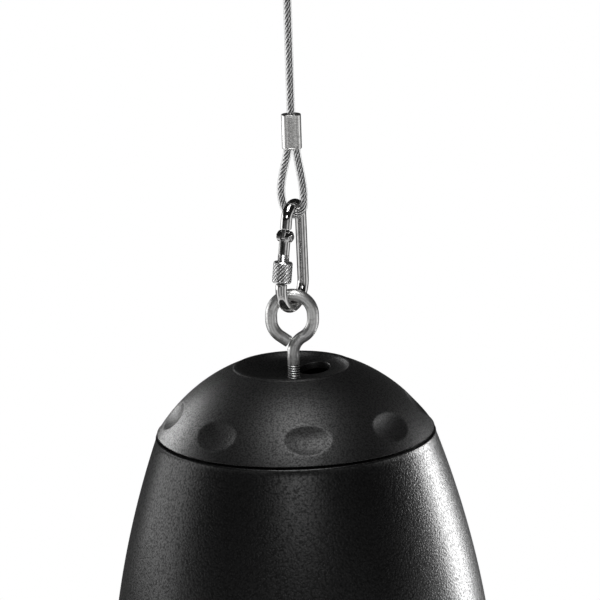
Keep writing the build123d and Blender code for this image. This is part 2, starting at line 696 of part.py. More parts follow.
def bridge():
    """Bent strap across the deck that takes the weight, with its middle under the cap's boss."""
    thick = BRIDGE_THICKNESS
    top = -BRIDGE_TOP
    side = [
        (BRIDGE_HALF, top),
        (bridge_foot_in, deck_top + thick),
        (bridge_foot_out, deck_top + thick),
        (bridge_foot_out, deck_top),
        (bridge_foot_in - thick * 0.8, deck_top),
        (BRIDGE_HALF - thick * 0.6, top - thick),
    ]
    whole = side + [(-x, z) for x, z in reversed(side)]
    strap = extrude(Plane.XZ * make_face(Polyline(whole + [side[0]])), BRIDGE_WIDTH / 2, both=True)
    strap -= ring(0, EYE_WIRE / 2 + RUNNING, top - 10, top + 1)
    for hole in around(2, bridge_screw_out, Cylinder(BRIDGE_SCREW + SCREW_ROOM, 4 * BRIDGE_THICKNESS)):
        strap -= Pos(0, 0, deck_top) * hole
    return Rot(0, 0, bridge_turn) * strap


def bridge_nut():
    """Welded nut under the bridge, with its thread simplified to a bore."""
    nut = extrude(RegularPolygon(NUT_FLATS / 2, 6, major_radius=False), NUT_HEIGHT)
    nut -= Cylinder(EYE_WIRE / 2 + RUNNING, 4 * NUT_HEIGHT)
    return Rot(0, 0, CABLE_HOLE_ANGLE) * Pos(0, 0, -BRIDGE_TOP - BRIDGE_THICKNESS - NUT_HEIGHT) * nut


def bridge_screws():
    """Two screws through the bridge's feet into the deck."""
    screw = pan_screw(BRIDGE_SCREW, BRIDGE_THICKNESS + DECK_THICKNESS)
    place = Pos(0, 0, deck_top + BRIDGE_THICKNESS)
    return Compound(children=around(2, bridge_screw_out, place * screw, bridge_turn))


def on_deck(shape):
    """A piece of the terminal set, placed on the deck beside the cable hole."""
    return Rot(0, 0, CABLE_HOLE_ANGLE) * Pos(block_out, 0, deck_top) * shape


def pole_places(height):
    """The block's poles, in a row along it."""
    first = -(BLOCK_POLES - 1) / 2 * BLOCK_PITCH
    return [Pos(0, first + k * BLOCK_PITCH, height) for k in range(BLOCK_POLES)]


def terminal_block():
    """Four-pole socket on the deck, with a recess for the plug."""
    up = (Align.CENTER, Align.CENTER, Align.MIN)
    block = Box(BLOCK_WIDTH, BLOCK_LENGTH, BLOCK_HEIGHT, align=up)
    block = fillet(block.edges().filter_by(Axis.Z), BLOCK_ROUND)
    block -= Pos(0, 0, BLOCK_HEIGHT - PLUG_SEAT) * Box(
        PLUG_WIDTH, BLOCK_POLES * BLOCK_PITCH, PLUG_HEIGHT, align=up
    )
    return on_deck(block)


def terminal_plug():
    """Plug with a wire port and a clamp screw for each pole."""
    up = (Align.CENTER, Align.CENTER, Align.MIN)
    plug = Box(PLUG_WIDTH - 2 * CLEAR, BLOCK_POLES * BLOCK_PITCH - 2 * CLEAR, PLUG_HEIGHT, align=up)
    plug = chamfer(plug.edges().group_by(Axis.Z)[-1], PLUG_EDGE)
    for place in pole_places(PLUG_HEIGHT):
        plug -= place * Cylinder(WIRE_PORT_RADIUS, PLUG_HEIGHT)
    clamp_port = Rot(0, 90, 0) * Cylinder(CLAMP_PORT_RADIUS, 2 * CLAMP_PORT_DEPTH)
    for place in pole_places((PLUG_SEAT + PLUG_HEIGHT) / 2):
        plug -= place * Pos(-PLUG_WIDTH / 2, 0, 0) * clamp_port
    return on_deck(Pos(0, 0, BLOCK_HEIGHT - PLUG_SEAT) * plug)


def crossover_board():
    """Board that hangs under the deck on four posts."""
    board = Pos(0, 0, board_bottom) * Box(
        BOARD_LENGTH, BOARD_WIDTH, BOARD_THICKNESS, align=(Align.CENTER, Align.CENTER, Align.MIN)
    )
    for place in board_corners():
        board -= Pos(0, 0, board_bottom) * place * Cylinder(SCREW_RADIUS, 3 * BOARD_THICKNESS)
    return board


def board_corners():
    """Places of the board's screws."""
    out_x = BOARD_LENGTH / 2 - POST_RADIUS - POST_FROM_EDGE
    out_y = BOARD_WIDTH / 2 - POST_RADIUS - POST_FROM_EDGE
    return [Pos(x, y, 0) for x in (-out_x, out_x) for y in (-out_y, out_y)]


def board_posts():
    """Four spacers between the deck and the board."""
    post = Pos(0, 0, deck_bottom - BOARD_DROP / 2) * (
        Cylinder(POST_RADIUS, BOARD_DROP) - Cylinder(SCREW_RADIUS + RUNNING, BOARD_DROP)
    )
    return Compound(children=[place * post for place in board_corners()])


def board_screws():
    """Four screws up through the board and the spacers."""
    screw = Rot(180, 0, 0) * pan_screw(SCREW_RADIUS - RUNNING, BOARD_DROP)
    screw = Pos(0, 0, board_bottom) * screw
    return Compound(children=[place * screw for place in board_corners()])


def coil(radius, height, x, y):
    """A wound inductor: a hollow bobbin's winding, flat against the board."""
    winding = ring(COIL_BORE, radius, -height, 0)
    winding = fillet(winding.edges().group_by(Axis.Z)[0], COIL_ROUND)
    return Pos(x, y, board_bottom) * winding


def capacitor(y):
    """A film capacitor that lies on the board."""
    can = fillet(Cylinder(CAPACITOR_RADIUS, CAPACITOR_LENGTH).edges(), CAPACITOR_ROUND)
    return Pos(middle_x, y, board_bottom - CAPACITOR_RADIUS) * Rot(0, 90, 0) * can


def resistor():
    """A cement resistor that lies on the board."""
    hung = (Align.CENTER, Align.CENTER, Align.MAX)
    block = Box(RESISTOR_LENGTH, RESISTOR_SIDE, RESISTOR_SIDE, align=hung)
    block = chamfer(block.edges().group_by(Axis.Z)[0], RESISTOR_EDGE)
    return Pos(middle_x, resistor_y, board_bottom) * block


def damping_lining():
    """Wadding against the housing's inner side, between the crossover and the bosses."""
    top = deck_bottom - LINING_BELOW_DECK
    bottom = baffle_top + BAFFLE_SEAL + BOSS_LENGTH + LINING_OVER_BOSSES
    levels = [top + (bottom - top) * share for share in (0, 0.25, 0.5, 0.75, 1)]
    outer = [(inner_radius(z) - 2 * CLEAR, z) for z in levels]
    inner = [(x - LINING_THICKNESS, z) for x, z in reversed(outer)]
    side = Spline(outer)
    back = Spline(inner)
    return turned([side, Line(side @ 1, back @ 0), back, Line(back @ 1, side @ 0)])


def baffle():
    """Board that closes the housing and carries the driver."""
    board = ring(driver_cutout, baffle_radius, baffle_bottom, baffle_top)
    base = Pos(0, 0, baffle_bottom)
    for hole in bosses(SCREW_RADIUS + SCREW_ROOM, 2 * BAFFLE_THICKNESS):
        board -= base * hole
    for sink in bosses(2.2 * SCREW_RADIUS, HEAD_SINK):
        board -= base * sink
    for hole in around(DRIVER_SCREWS, driver_screw_circle, Cylinder(SCREW_RADIUS, 1.6 * BAFFLE_THICKNESS)):
        board -= base * hole
    return board


def baffle_seal():
    """Foam ring between the bosses' level and the baffle."""
    outer = baffle_radius - BAFFLE_EDGE
    seal = ring(outer - BAFFLE_SEAL_WIDTH, outer, baffle_top, baffle_top + BAFFLE_SEAL)
    for hole in bosses(SCREW_RADIUS + 2 * SCREW_ROOM, 2 * BAFFLE_SEAL):
        seal -= Pos(0, 0, baffle_top) * hole
    return seal


def baffle_screws():
    """Screws from below through the baffle into the bosses, with sunk heads."""
    length = BAFFLE_THICKNESS - HEAD_SINK + BAFFLE_SEAL + SCREW_BITE
    screw = Rot(180, 0, 0) * pan_screw(SCREW_RADIUS - RUNNING, length)
    screw = Pos(0, 0, baffle_bottom + HEAD_SINK) * screw
    return Compound(children=around(BAFFLE_BOSSES, boss_circle, screw, BAFFLE_BOSS_TURN))


def front_ring():
    """Rounded lower edge of the loudspeaker, with a lip under the grille and a spigot."""
    top = housing_end - SEAM
    arc_centre = HOUSING_RADIUS - FRONT_ROUND
    turn = math.radians(45)
    middle = (arc_centre + FRONT_ROUND * math.cos(turn), top - FRONT_ROUND * math.sin(turn))
    round_edge = ThreePointArc((HOUSING_RADIUS, top), middle, (arc_centre, front_bottom))
    bore = grille_radius + CLEAR
    corners = [
        (arc_centre, front_bottom),
        (front_opening, front_bottom),
        (front_opening, grille_bottom),
        (bore, grille_bottom),
        (bore, baffle_bottom - CLEAR),
        (baffle_radius - CLEAR, baffle_bottom - CLEAR),
        (baffle_radius - CLEAR, top),
        (HOUSING_RADIUS, top),
    ]
    return turned([round_edge, Polyline(corners)])


def grille():
    """Perforated sheet; six-sided holes in offset rows."""
    low = grille_bottom
    sheet = ring(0, grille_radius, low, low + GRILLE_THICKNESS)
    hole = extrude(RegularPolygon(GRILLE_HOLE, 6), 3 * GRILLE_THICKNESS)
    row_height = GRILLE_PITCH * math.sqrt(3) / 2
    field = front_opening - GRILLE_HOLE - GRILLE_MARGIN
    rows = math.ceil(field / row_height)
    columns = math.ceil(field / GRILLE_PITCH)
    holes = []
    for row in range(-rows, rows + 1):
        for column in range(-columns - 1, columns + 1):
            x = (column + row % 2 / 2) * GRILLE_PITCH
            if math.hypot(x, row * row_height) < field:
                holes.append(Pos(x, row * row_height, low - GRILLE_THICKNESS) * hole)
    return sheet - holes


def grille_clamp():
    """Ring that holds the grille down on the front ring's lip."""
    low = grille_bottom + GRILLE_THICKNESS
    return ring(grille_radius - CLAMP_WIDTH, grille_radius, low, low + CLAMP_HEIGHT)


def driver_frame():
    """Pressed frame: a flange, a rim, spokes, a seat on the front plate and the spider's shelf."""
    seat = top_plate_bottom
    seat_inside = TOP_PLATE_RADIUS - FRAME_SEAT
    rim_top = flange_top + FRAME_RIM
    outside = [(frame_rim, flange_top), (frame_rim, rim_top), (frame_neck, seat), (seat_inside, seat)]
    inside = [
        (seat_inside, seat - FRAME_SHEET),
        (frame_neck - FRAME_SHEET * 0.6, seat - FRAME_SHEET),
        (frame_rim - FRAME_SHEET, rim_top - FRAME_SHEET / 4),
        (frame_rim - FRAME_SHEET, flange_top),
    ]
    frame = turned([Polyline(outside + inside + outside[:1])])
    frame += ring(roll_centre + roll_radius + CLEAR, frame_radius, flange_bottom, flange_top)
    window = ring(frame_neck + WINDOW_EDGE / 2, HOUSING_RADIUS, rim_top, seat - WINDOW_EDGE)
    for turn in range(FRAME_SPOKES):
        frame -= window & wedge(WINDOW_ANGLE, 360 / FRAME_SPOKES * turn)
    shelf = spider_level + SPIDER_SHEET / 2
    shelf_out = SPIDER_OUT + SHELF_WIDTH
    frame += ring(SPIDER_OUT, shelf_out, shelf, shelf + SHELF_THICKNESS)
    frame += ring(shelf_out - SHELF_THICKNESS, shelf_out, spider_level, seat - FRAME_SHEET / 2)
    hole = Cylinder(SCREW_RADIUS + SCREW_ROOM, 4 * FRAME_FLANGE)
    for place in around(DRIVER_SCREWS, driver_screw_circle, hole):
        frame -= Pos(0, 0, flange_top) * place
    return frame


def driver_gasket():
    """Soft ring between the frame's flange and the baffle."""
    gasket = ring(driver_cutout + BAFFLE_EDGE, frame_radius - BAFFLE_EDGE, flange_top, baffle_bottom)
    hole = Cylinder(SCREW_RADIUS + 2 * SCREW_ROOM, 4 * FRAME_GASKET)
    for place in around(DRIVER_SCREWS, driver_screw_circle, hole):
        gasket -= Pos(0, 0, flange_top) * place
    return gasket


def driver_screws():
    """Screws from below through the flange and the gasket into the baffle."""
    length = FRAME_FLANGE + FRAME_GASKET + SCREW_BITE / 2
    screw = Pos(0, 0, flange_bottom) * Rot(180, 0, 0) * pan_screw(SCREW_RADIUS - RUNNING, length)
    return Compound(children=around(DRIVER_SCREWS, driver_screw_circle, screw))


def front_plate():
    """Steel plate under the magnet, with the gap's outer wall."""
    return ring(PLATE_BORE, TOP_PLATE_RADIUS, top_plate_bottom, top_plate_top)


def magnet():
    """Ring magnet between the front plate and the yoke."""
    block = ring(PLATE_BORE + MAGNET_BORE_OUT, MAGNET_RADIUS, top_plate_top, magnet_top)
    return chamfer(block.edges().filter_by(GeomType.CIRCLE), MAGNET_EDGE)


def yoke():
    """Back plate and centre pole, turned from one piece, with a vent through it."""
    plate_top = magnet_top + BACK_PLATE_THICKNESS
    plate = ring(0, MAGNET_RADIUS - BACK_PLATE_INSET, magnet_top, plate_top)
    plate = chamfer(plate.edges().group_by(Axis.Z)[-1], BACK_PLATE_EDGE)
    plate += ring(0, POLE_RADIUS, top_plate_bottom, magnet_top + 1)
    return plate - ring(0, TWEETER_STEM, top_plate_bottom - 1, plate_top + 1)


def voice_coil():
    """Former with its winding; the winding stands in the gap."""
    centre = (top_plate_top + top_plate_bottom) / 2
    low = cone_neck_level - COIL_INTO_CONE
    half = WINDING_LENGTH / 2
    former = ring(COIL_RADIUS, cone_neck, low, centre + half + COIL_INTO_CONE)
    middle = COIL_RADIUS + FORMER_WALL / 2
    return former + ring(middle, cone_neck + WINDING_WALL, centre - half, centre + half)


def cone():
    """Curved paper cone, glued to the former's end."""
    sheet = CONE_SHEET
    low = (surround_in, cone_edge_level)
    high = (cone_neck + RUNNING, cone_neck_level)
    bend = ((low[0] + high[0]) / 2 - CONE_BOW, (low[1] + high[1]) / 2 - CONE_BOW)
    outer = Spline([low, bend, high])
    inner = Spline([(x, z + sheet * 1.4) for x, z in (low, bend, high)])
    return turned([outer, Line(outer @ 1, inner @ 1), inner, Line(inner @ 0, outer @ 0)])


def surround():
    """Half-roll of rubber between the frame and the cone's edge."""
    sheet = SURROUND_SHEET
    level = cone_edge_level - sheet
    roll = roll_radius
    centre = roll_centre
    outer_arc = ThreePointArc((centre - roll, level), (centre, level - roll), (centre + roll, level))
    inner_arc = ThreePointArc(
        (centre - roll + sheet, level + sheet),
        (centre, level + sheet - roll + sheet),
        (centre + roll - sheet, level + sheet),
    )
    glued = surround_in - SURROUND_LAP
    inner_flat = [(centre - roll, level), (glued, level), (glued, level + sheet)]
    inner_flat += [(centre - roll + sheet, level + sheet)]
    outer_flat = [(centre + roll, level), (surround_edge, level), (surround_edge, level + sheet)]
    outer_flat += [(centre + roll - sheet, level + sheet)]
    return turned([outer_arc, inner_arc, Polyline(inner_flat), Polyline(outer_flat)])


def spider():
    """Corrugated disc that centres the voice coil."""
    sheet = SPIDER_SHEET
    first = cone_neck + CLEAR
    waves_from = first + SPIDER_FLAT
    step = (SPIDER_OUT - SPIDER_FLAT / 2 - waves_from) / (2 * SPIDER_WAVES)
    lower = [(first, spider_level), (waves_from, spider_level)]
    for k in range(2 * SPIDER_WAVES):
        height = SPIDER_WAVE if k % 2 == 0 else -SPIDER_WAVE
        lower.append((waves_from + step * (k + 0.5), spider_level + height))
    lower.append((SPIDER_OUT + SHELF_WIDTH - SHELF_THICKNESS - CLEAR, spider_level))
    upper = [(x, z + sheet / 2) for x, z in reversed(lower)]
    lower = [(x, z - sheet / 2) for x, z in lower]
    return turned([Polyline(lower + upper + [lower[0]])])


def tweeter_post():
    """Threaded stem from the pole to the high-frequency unit."""
    post = ring(0, TWEETER_POST, tweeter_top, top_plate_bottom)
    return post + ring(0, TWEETER_STEM - RUNNING, top_plate_bottom, magnet_top)


def tweeter_cup():
    """Cup that holds the dome in front of the cone's middle."""
    cup = ring(0, TWEETER_RADIUS, tweeter_bottom, tweeter_top)
    cup = fillet(cup.edges().group_by(Axis.Z)[-1], TWEETER_ROUND)
    return cup - ring(0, TWEETER_DOME + CLEAR, tweeter_bottom - 1, tweeter_bottom + TWEETER_BOWL)


def tweeter_dome():
    """Shallow dome in the cup's mouth."""
    top = tweeter_bottom + DOME_BACK
    edge = (TWEETER_DOME, tweeter_bottom + DOME_EDGE)
    middle = (TWEETER_DOME / 2, tweeter_bottom + DOME_MIDDLE)
    low = (0, tweeter_bottom + DOME_LOW)
    shell = ThreePointArc(low, middle, edge)
    return turned([shell, Polyline(edge, (TWEETER_DOME, top), (0, top), low)])


save("ceiling_plate", ceiling_plate(), Pos(0, 0, 0))
save("rope_socket", rope_socket(), Pos(0, 0, 0))
save("rope_stop", rope_stop(), Pos(0, 0, 0))
save("suspension_rope", ring(0, ROPE_DIAMETER / 2, ferrule_top, rope_exit), Pos(0, 0, 0))
save("rope_ferrule", ferrule(), Pos(0, 0, 0))
save("rope_eye", rope_eye(), Pos(0, 0, 0))
save("carabiner_body", carabiner_body(), Pos(0, 0, 0))
save("carabiner_gate", carabiner_gate(), gate_frame)
save("gate_rivet", gate_rivet(), gate_frame)
save("gate_spring", gate_spring(), gate_frame)
save("locking_sleeve", locking_sleeve(), gate_frame)
save("eyebolt", eyebolt())
save("top_cap", top_cap())
save("housing", housing())
save("seal_ring", seal_ring())
save("suspension_bridge", bridge())
save("bridge_nut", bridge_nut())
save("bridge_screws", bridge_screws())
save("terminal_block", terminal_block())
save("terminal_plug", terminal_plug())
save("crossover_board", crossover_board())
save("board_spacers", board_posts())
save("board_screws", board_screws())
save("bass_inductor", coil(BIG_COIL_RADIUS, BIG_COIL_HEIGHT, big_coil_x, big_coil_y))
save("treble_inductor", coil(SMALL_COIL_RADIUS, SMALL_COIL_HEIGHT, small_coil_x, 0))
save("bass_capacitor", capacitor(first_y))
save("treble_capacitor", capacitor(second_y))
save("resistor", resistor())
save("damping_lining", damping_lining())
save("baffle", baffle())
save("baffle_seal", baffle_seal())
save("baffle_screws", baffle_screws())
save("front_ring", front_ring())
save("grille", grille())
save("grille_clamp", grille_clamp())
save("driver_frame", driver_frame())
save("driver_gasket", driver_gasket())
save("driver_screws", driver_screws())
save("front_plate", front_plate())
save("magnet", magnet())
save("yoke", yoke())
save("voice_coil", voice_coil())
save("cone", cone())
save("surround", surround())
save("spider", spider())
save("tweeter_post", tweeter_post())
save("tweeter_cup", tweeter_cup())
save("tweeter_dome", tweeter_dome())
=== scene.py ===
"""Looks of a black pendant loudspeaker on a jacketed wire rope, in metres, in the CAD's frame."""
import json
import math

import bpy
import numpy as np
from bpy.props import FloatProperty, FloatVectorProperty, IntProperty, PointerProperty
from mathutils import Matrix, Vector


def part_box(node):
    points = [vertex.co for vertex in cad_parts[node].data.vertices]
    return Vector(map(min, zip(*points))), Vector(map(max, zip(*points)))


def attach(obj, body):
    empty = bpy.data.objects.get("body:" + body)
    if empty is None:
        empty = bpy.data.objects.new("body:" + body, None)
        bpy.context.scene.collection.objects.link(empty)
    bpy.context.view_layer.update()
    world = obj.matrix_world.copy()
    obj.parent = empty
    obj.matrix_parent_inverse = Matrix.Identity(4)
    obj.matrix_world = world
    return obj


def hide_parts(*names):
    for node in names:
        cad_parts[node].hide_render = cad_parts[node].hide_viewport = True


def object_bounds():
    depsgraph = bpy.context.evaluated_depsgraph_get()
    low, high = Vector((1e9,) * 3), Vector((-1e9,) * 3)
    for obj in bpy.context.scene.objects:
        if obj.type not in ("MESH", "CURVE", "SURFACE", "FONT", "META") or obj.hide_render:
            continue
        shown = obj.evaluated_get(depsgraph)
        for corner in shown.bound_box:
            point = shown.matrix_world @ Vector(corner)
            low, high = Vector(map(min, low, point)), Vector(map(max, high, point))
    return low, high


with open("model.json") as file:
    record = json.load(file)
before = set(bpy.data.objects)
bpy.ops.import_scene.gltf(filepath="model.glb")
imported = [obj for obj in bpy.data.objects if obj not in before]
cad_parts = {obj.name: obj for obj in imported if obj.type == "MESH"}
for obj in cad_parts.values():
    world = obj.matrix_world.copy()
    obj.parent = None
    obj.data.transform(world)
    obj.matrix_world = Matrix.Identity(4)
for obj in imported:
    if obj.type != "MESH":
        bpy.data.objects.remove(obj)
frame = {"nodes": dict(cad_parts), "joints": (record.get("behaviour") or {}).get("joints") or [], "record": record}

bl_info = {
    "name": "Pendant loudspeaker",
    "version": (1, 0, 0),
    "blender": (4, 5, 0),
    "location": "3D View > Sidebar > Loudspeaker",
    "description": "Builds the rope, carabiner, eyebolt, cap and housing of a pendant loudspeaker",
    "category": "Object",
}

MM = 0.001
cad_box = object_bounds()

# Places that the frame gives
rim_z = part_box("top_cap")[1].z
seam_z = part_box("housing")[1].z - rim_z
ferrule_low, ferrule_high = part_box("rope_ferrule")
rope_low, rope_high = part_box("suspension_rope")
housing_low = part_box("housing")[0].z - rim_z
joints = {joint["name"]: joint for joint in frame["joints"]}
axis_x = joints["speaker_swing"]["pos_m"][0]

# The carabiner's plane: its bottom and top rod centres, and the way out of it
carabiner_foot = np.array([axis_x, 0.0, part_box("carabiner_body")[0].z + 3.0 * MM])
carabiner_head = np.array(joints["carabiner_swing"]["pos_m"])
carabiner_up = (carabiner_head - carabiner_foot) / np.linalg.norm(carabiner_head - carabiner_foot)
carabiner_out = np.array(joints["gate_hinge"]["axis"])
carabiner_across = np.cross(carabiner_up, carabiner_out)

# The rope's eye lies square to the carabiner: its two legs stand apart along eye_side
eye_side = carabiner_out * [1, 1, 0] / np.linalg.norm(carabiner_out[:2])
eye_normal = np.cross([0, 0, 1.0], eye_side)


class RopeSizes(bpy.types.PropertyGroup):
    """Wire rope, its eye and its ferrule."""
    jacket: FloatProperty(name="Jacket", description="Outer diameter of the clear jacket",
                          default=4.4 * MM, unit="LENGTH")
    core: FloatProperty(name="Core", description="Diameter of the wires together",
                        default=3.4 * MM, unit="LENGTH")
    lay: FloatProperty(name="Lay", description="Length of one turn of a wire",
                       default=16.0 * MM, unit="LENGTH")
    wires: IntProperty(name="Wires", description="Wires around the core", default=6, min=5)
    steel: FloatVectorProperty(name="Steel", description="Colour of the strands", subtype="COLOR",
                               default=(0.95, 0.95, 0.95))
    nickel: FloatVectorProperty(name="Nickel", description="Colour of the ferrule", subtype="COLOR",
                                default=(0.96, 0.955, 0.94))


class CarabinerSizes(bpy.types.PropertyGroup):
    """Carabiner with its gate and locking sleeve."""
    rod: FloatProperty(name="Rod", description="Diameter of the bent rod", default=6.0 * MM,
                       unit="LENGTH")
    sleeve: FloatProperty(name="Sleeve", description="Outer diameter of the sleeve",
                          default=10.2 * MM, unit="LENGTH")
    knurls: IntProperty(name="Knurls", description="Grooves of each direction round the sleeve",
                        default=15, min=8)
    knurl_depth: FloatProperty(name="Knurl depth", description="Depth of the knurl's grooves",
                               default=0.36 * MM, unit="LENGTH")
    chrome: FloatVectorProperty(name="Chrome", description="Colour of the plated rod",
                                subtype="COLOR", default=(0.74, 0.735, 0.73))


class EyeboltSizes(bpy.types.PropertyGroup):
    """Eyebolt bent from one threaded rod."""
    wire: FloatProperty(name="Wire", description="Diameter of the rod", default=6.35 * MM,
                        unit="LENGTH")
    pitch: FloatProperty(name="Pitch", description="Pitch of the thread", default=1.27 * MM,
                         unit="LENGTH")
    depth: FloatProperty(name="Thread depth", description="Height of the thread's ridges",
                         default=0.62 * MM, unit="LENGTH")
    steel: FloatVectorProperty(name="Steel", description="Colour of the eyebolt", subtype="COLOR",
                               default=(0.95, 0.95, 0.94))


class ShellSizes(bpy.types.PropertyGroup):
    """Cap and housing."""
    dimple_width: FloatProperty(name="Dimple width", description="Width of a finger dimple",
                                default=25.0 * MM, unit="LENGTH")
    dimple_height: FloatProperty(name="Dimple height", description="Height of a finger dimple",
                                 default=17.0 * MM, unit="LENGTH")
    dimple_depth: FloatProperty(name="Dimple depth", description="Depth of a finger dimple",
                                default=2.0 * MM, unit="LENGTH")
    dimples: IntProperty(name="Dimples", description="Finger dimples round the cap", default=8,
                         min=1)
    cap_grain: FloatProperty(name="Cap grain", description="Size of the cap's grain",
                             default=1.0 * MM, unit="LENGTH")
    housing_grain: FloatProperty(name="Housing grain", description="Size of the housing's pebbles",
                                 default=1.15 * MM, unit="LENGTH")
    grille_pitch: FloatProperty(name="Grille pitch", description="Distance between two holes",
                                default=4.0 * MM, unit="LENGTH")
    grille_hole: FloatProperty(name="Grille hole", description="Diameter of the grille's holes",
                               default=2.7 * MM, unit="LENGTH")
    black: FloatVectorProperty(name="Black", description="Colour of cap and housing",
                               subtype="COLOR", default=(0.003, 0.003, 0.0031))


class StageSizes(bpy.types.PropertyGroup):
    """Floor, lamps and camera."""
    drop: FloatProperty(name="Drop", description="Height of the part above the floor", default=0.3,
                        unit="LENGTH")
    distance: FloatProperty(name="Distance", description="From the camera to the part",
                            default=2.5, unit="LENGTH")
    elevation: FloatProperty(name="Elevation", description="Angle of the camera above the horizon",
                             default=math.radians(13.7), unit="ROTATION")
    roll: FloatProperty(name="Roll", description="Turn of the camera about its own line of sight",
                        default=math.radians(1.83), unit="ROTATION")
    lens: FloatProperty(name="Lens", description="Focal length in millimetres", default=285.7,
                        unit="CAMERA")
    floor: FloatVectorProperty(name="Floor", description="Colour of the floor", subtype="COLOR",
                               default=(0.8, 0.8, 0.8))


def math_node(operation, swapped=False):
    """An operator's method, which adds one Math node."""
    def method(self, other):
        first, second = (other, self) if swapped else (self, other)
        return self.nodes.add("ShaderNodeMath", {0: first, 1: second}, operation=operation)
    return method


class Value:
    """A node's output. Sums, products and powers of it add Math nodes."""
    __add__ = math_node("ADD")
    __radd__ = math_node("ADD", swapped=True)
    __sub__ = math_node("SUBTRACT")
    __rsub__ = math_node("SUBTRACT", swapped=True)
    __mul__ = math_node("MULTIPLY")
    __pow__ = math_node("POWER")

    def __init__(self, nodes, socket):
        self.nodes = nodes
        self.socket = socket

    def between(self, low, high, start=0.0, end=1.0):
        """Rises smoothly from start to end while the value goes from low to high."""
        return self.nodes.add(
            "ShaderNodeMapRange",
            {"Value": self, "From Min": low, "From Max": high, "To Min": start, "To Max": end},
            interpolation_type="SMOOTHSTEP")


class Nodes:
    """A node tree, emptied, with the one method that adds nodes to it."""

    def __init__(self, tree):
        self.tree = tree
        tree.nodes.clear()

    def add(self, kind, inputs=None, output=0, **settings):
        """Adds a node: its settings first, then values or links for its inputs."""
        node = self.tree.nodes.new(kind)
        for key, value in settings.items():
            if key == "stops":
                ramp = node.color_ramp.elements
                for place, _ in value[1:-1]:
                    ramp.new(place)
                for element, (_, grey) in zip(ramp, value):
                    element.color = (grey, grey, grey, 1.0)
            else:
                setattr(node, key, value)
        for key, value in (inputs or {}).items():
            socket = node.inputs[key]
            if isinstance(value, Value):
                self.tree.links.new(value.socket, socket)
            elif isinstance(value, tuple) and len(value) == 3 and len(socket.default_value) == 4:
                socket.default_value = (*value, 1.0)
            else:
                socket.default_value = value
        return Value(self, node.outputs[output]) if node.outputs else None


class Paint(Nodes):
    """One material, which reads the piece's Object coordinates."""

    def __init__(self, name):
        self.material = bpy.data.materials.new(name)
        self.material.use_nodes = True
        super().__init__(self.material.node_tree)
        self.place = self.add("ShaderNodeTexCoord", output="Object")

    def spots(self, size, detail=2.0, stretch=(1, 1, 1)):
        """Noise with features about as large as size, stretched along the axes."""
        place = self.add("ShaderNodeMapping", {"Vector": self.place, "Scale": stretch})
        return self.add("ShaderNodeTexNoise",
                        {"Vector": place, "Scale": 1 / size, "Detail": detail})

    def pebbles(self, size):
        """Rounded cells about as large as size."""
        return self.add("ShaderNodeTexVoronoi",
                        {"Vector": self.place, "Scale": 1 / size, "Smoothness": 0.8},
                        feature="SMOOTH_F1")

    def raised(self, height, depth):
        """Normal of a surface that the height, times depth in metres, lifts."""
        return self.add("ShaderNodeBump", {"Height": height, "Distance": depth, "Strength": 1.0})

    def mixed(self, share, first, second):
        """Colour between two colours."""
        return self.add("ShaderNodeMix", {0: share, 6: first, 7: second}, 2, data_type="RGBA")

    def done(self, **inputs):
        """Ends in a Principled shader, with spaces in socket names written as underscores."""
        named = {key.replace("_", " "): value for key, value in inputs.items()}
        shader = self.add("ShaderNodeBsdfPrincipled", named)
        self.add("ShaderNodeOutputMaterial", {"Surface": shader})
        return self.material


def scaled(colour, factor):
    """Colour made darker or lighter, up to white."""
    return tuple(min(1, part * factor) for part in colour)


def grained_plastic(name, colour, grain, depth, roughness, fine=0.5):
    """Moulded plastic: pebbles with finer grit on them, whose tops shine more than their gaps."""
    paint = Paint(name)
    pebbles = 1.0 - paint.pebbles(grain)
    grit = paint.spots(grain * 0.9, 2.0)
    patches = paint.spots(30 * MM, 2.0)
    height = pebbles + grit * fine
    gloss = roughness + (patches - 0.5) * 0.08
    tops = (grit * 0.6 + pebbles * 0.4).between(0.36, 0.64, 0.12, 0.88)
    shade = paint.mixed(patches, scaled(colour, 0.8), scaled(colour, 1.3))
    return paint.done(Base_Color=shade, Roughness=gloss, IOR=1.5, Specular_IOR_Level=0.22,
                      Coat_Weight=tops, Coat_Roughness=roughness * 0.9, Coat_IOR=1.5,
                      Normal=paint.raised(height, depth))


def polished_metal(name, colour, roughness, scratch=0.3 * MM, depth=0.002 * MM,
                   stretch=(1, 1, 0.08), groove_shaded=False):
    """Plated metal with fine drawn lines, faint waves and stains, and painted shade, a near-black colour, in
    grooves where the piece's attribute named groove is low."""
    paint = Paint(name)
    lines = paint.spots(scratch, 3.0, stretch)
    waves = paint.spots(6 * MM, 1.0)
    stains = paint.spots(2.2 * MM, 4.0).between(0.45, 0.7)
    shade = paint.mixed(stains, colour, scaled(colour, 0.72))
    gloss = roughness + (lines - 0.5) * roughness * 0.9 + stains * 0.06
    if groove_shaded:
        # Painted shade: where the groove attribute is low, the colour falls towards 7 per cent of the metal's.
        # This stands for the shade in grooves between wires and in threads and knurls.
        unshaded = paint.add("ShaderNodeAttribute", output="Fac", attribute_name="groove")
        shade = paint.mixed(unshaded.between(0.15, 0.75), scaled(colour, 0.07), shade)
    height = lines + waves * 3.0
    return paint.done(Base_Color=shade, Metallic=1.0, Roughness=gloss,
                      Normal=paint.raised(height, depth))


def plain_finish(name, colour, roughness, metallic, grain, depth):
    """A finish with fine grain and slow changes of shade."""
    paint = Paint(name)
    grit = paint.spots(grain, 3.0)
    patches = paint.spots(9 * MM, 2.0)
    shade = paint.mixed(patches, scaled(colour, 0.8), scaled(colour, 1.2))
    gloss = roughness + (grit - 0.5) * 0.15
    return paint.done(Base_Color=shade, Metallic=metallic, Roughness=gloss,
                      Normal=paint.raised(grit, depth))


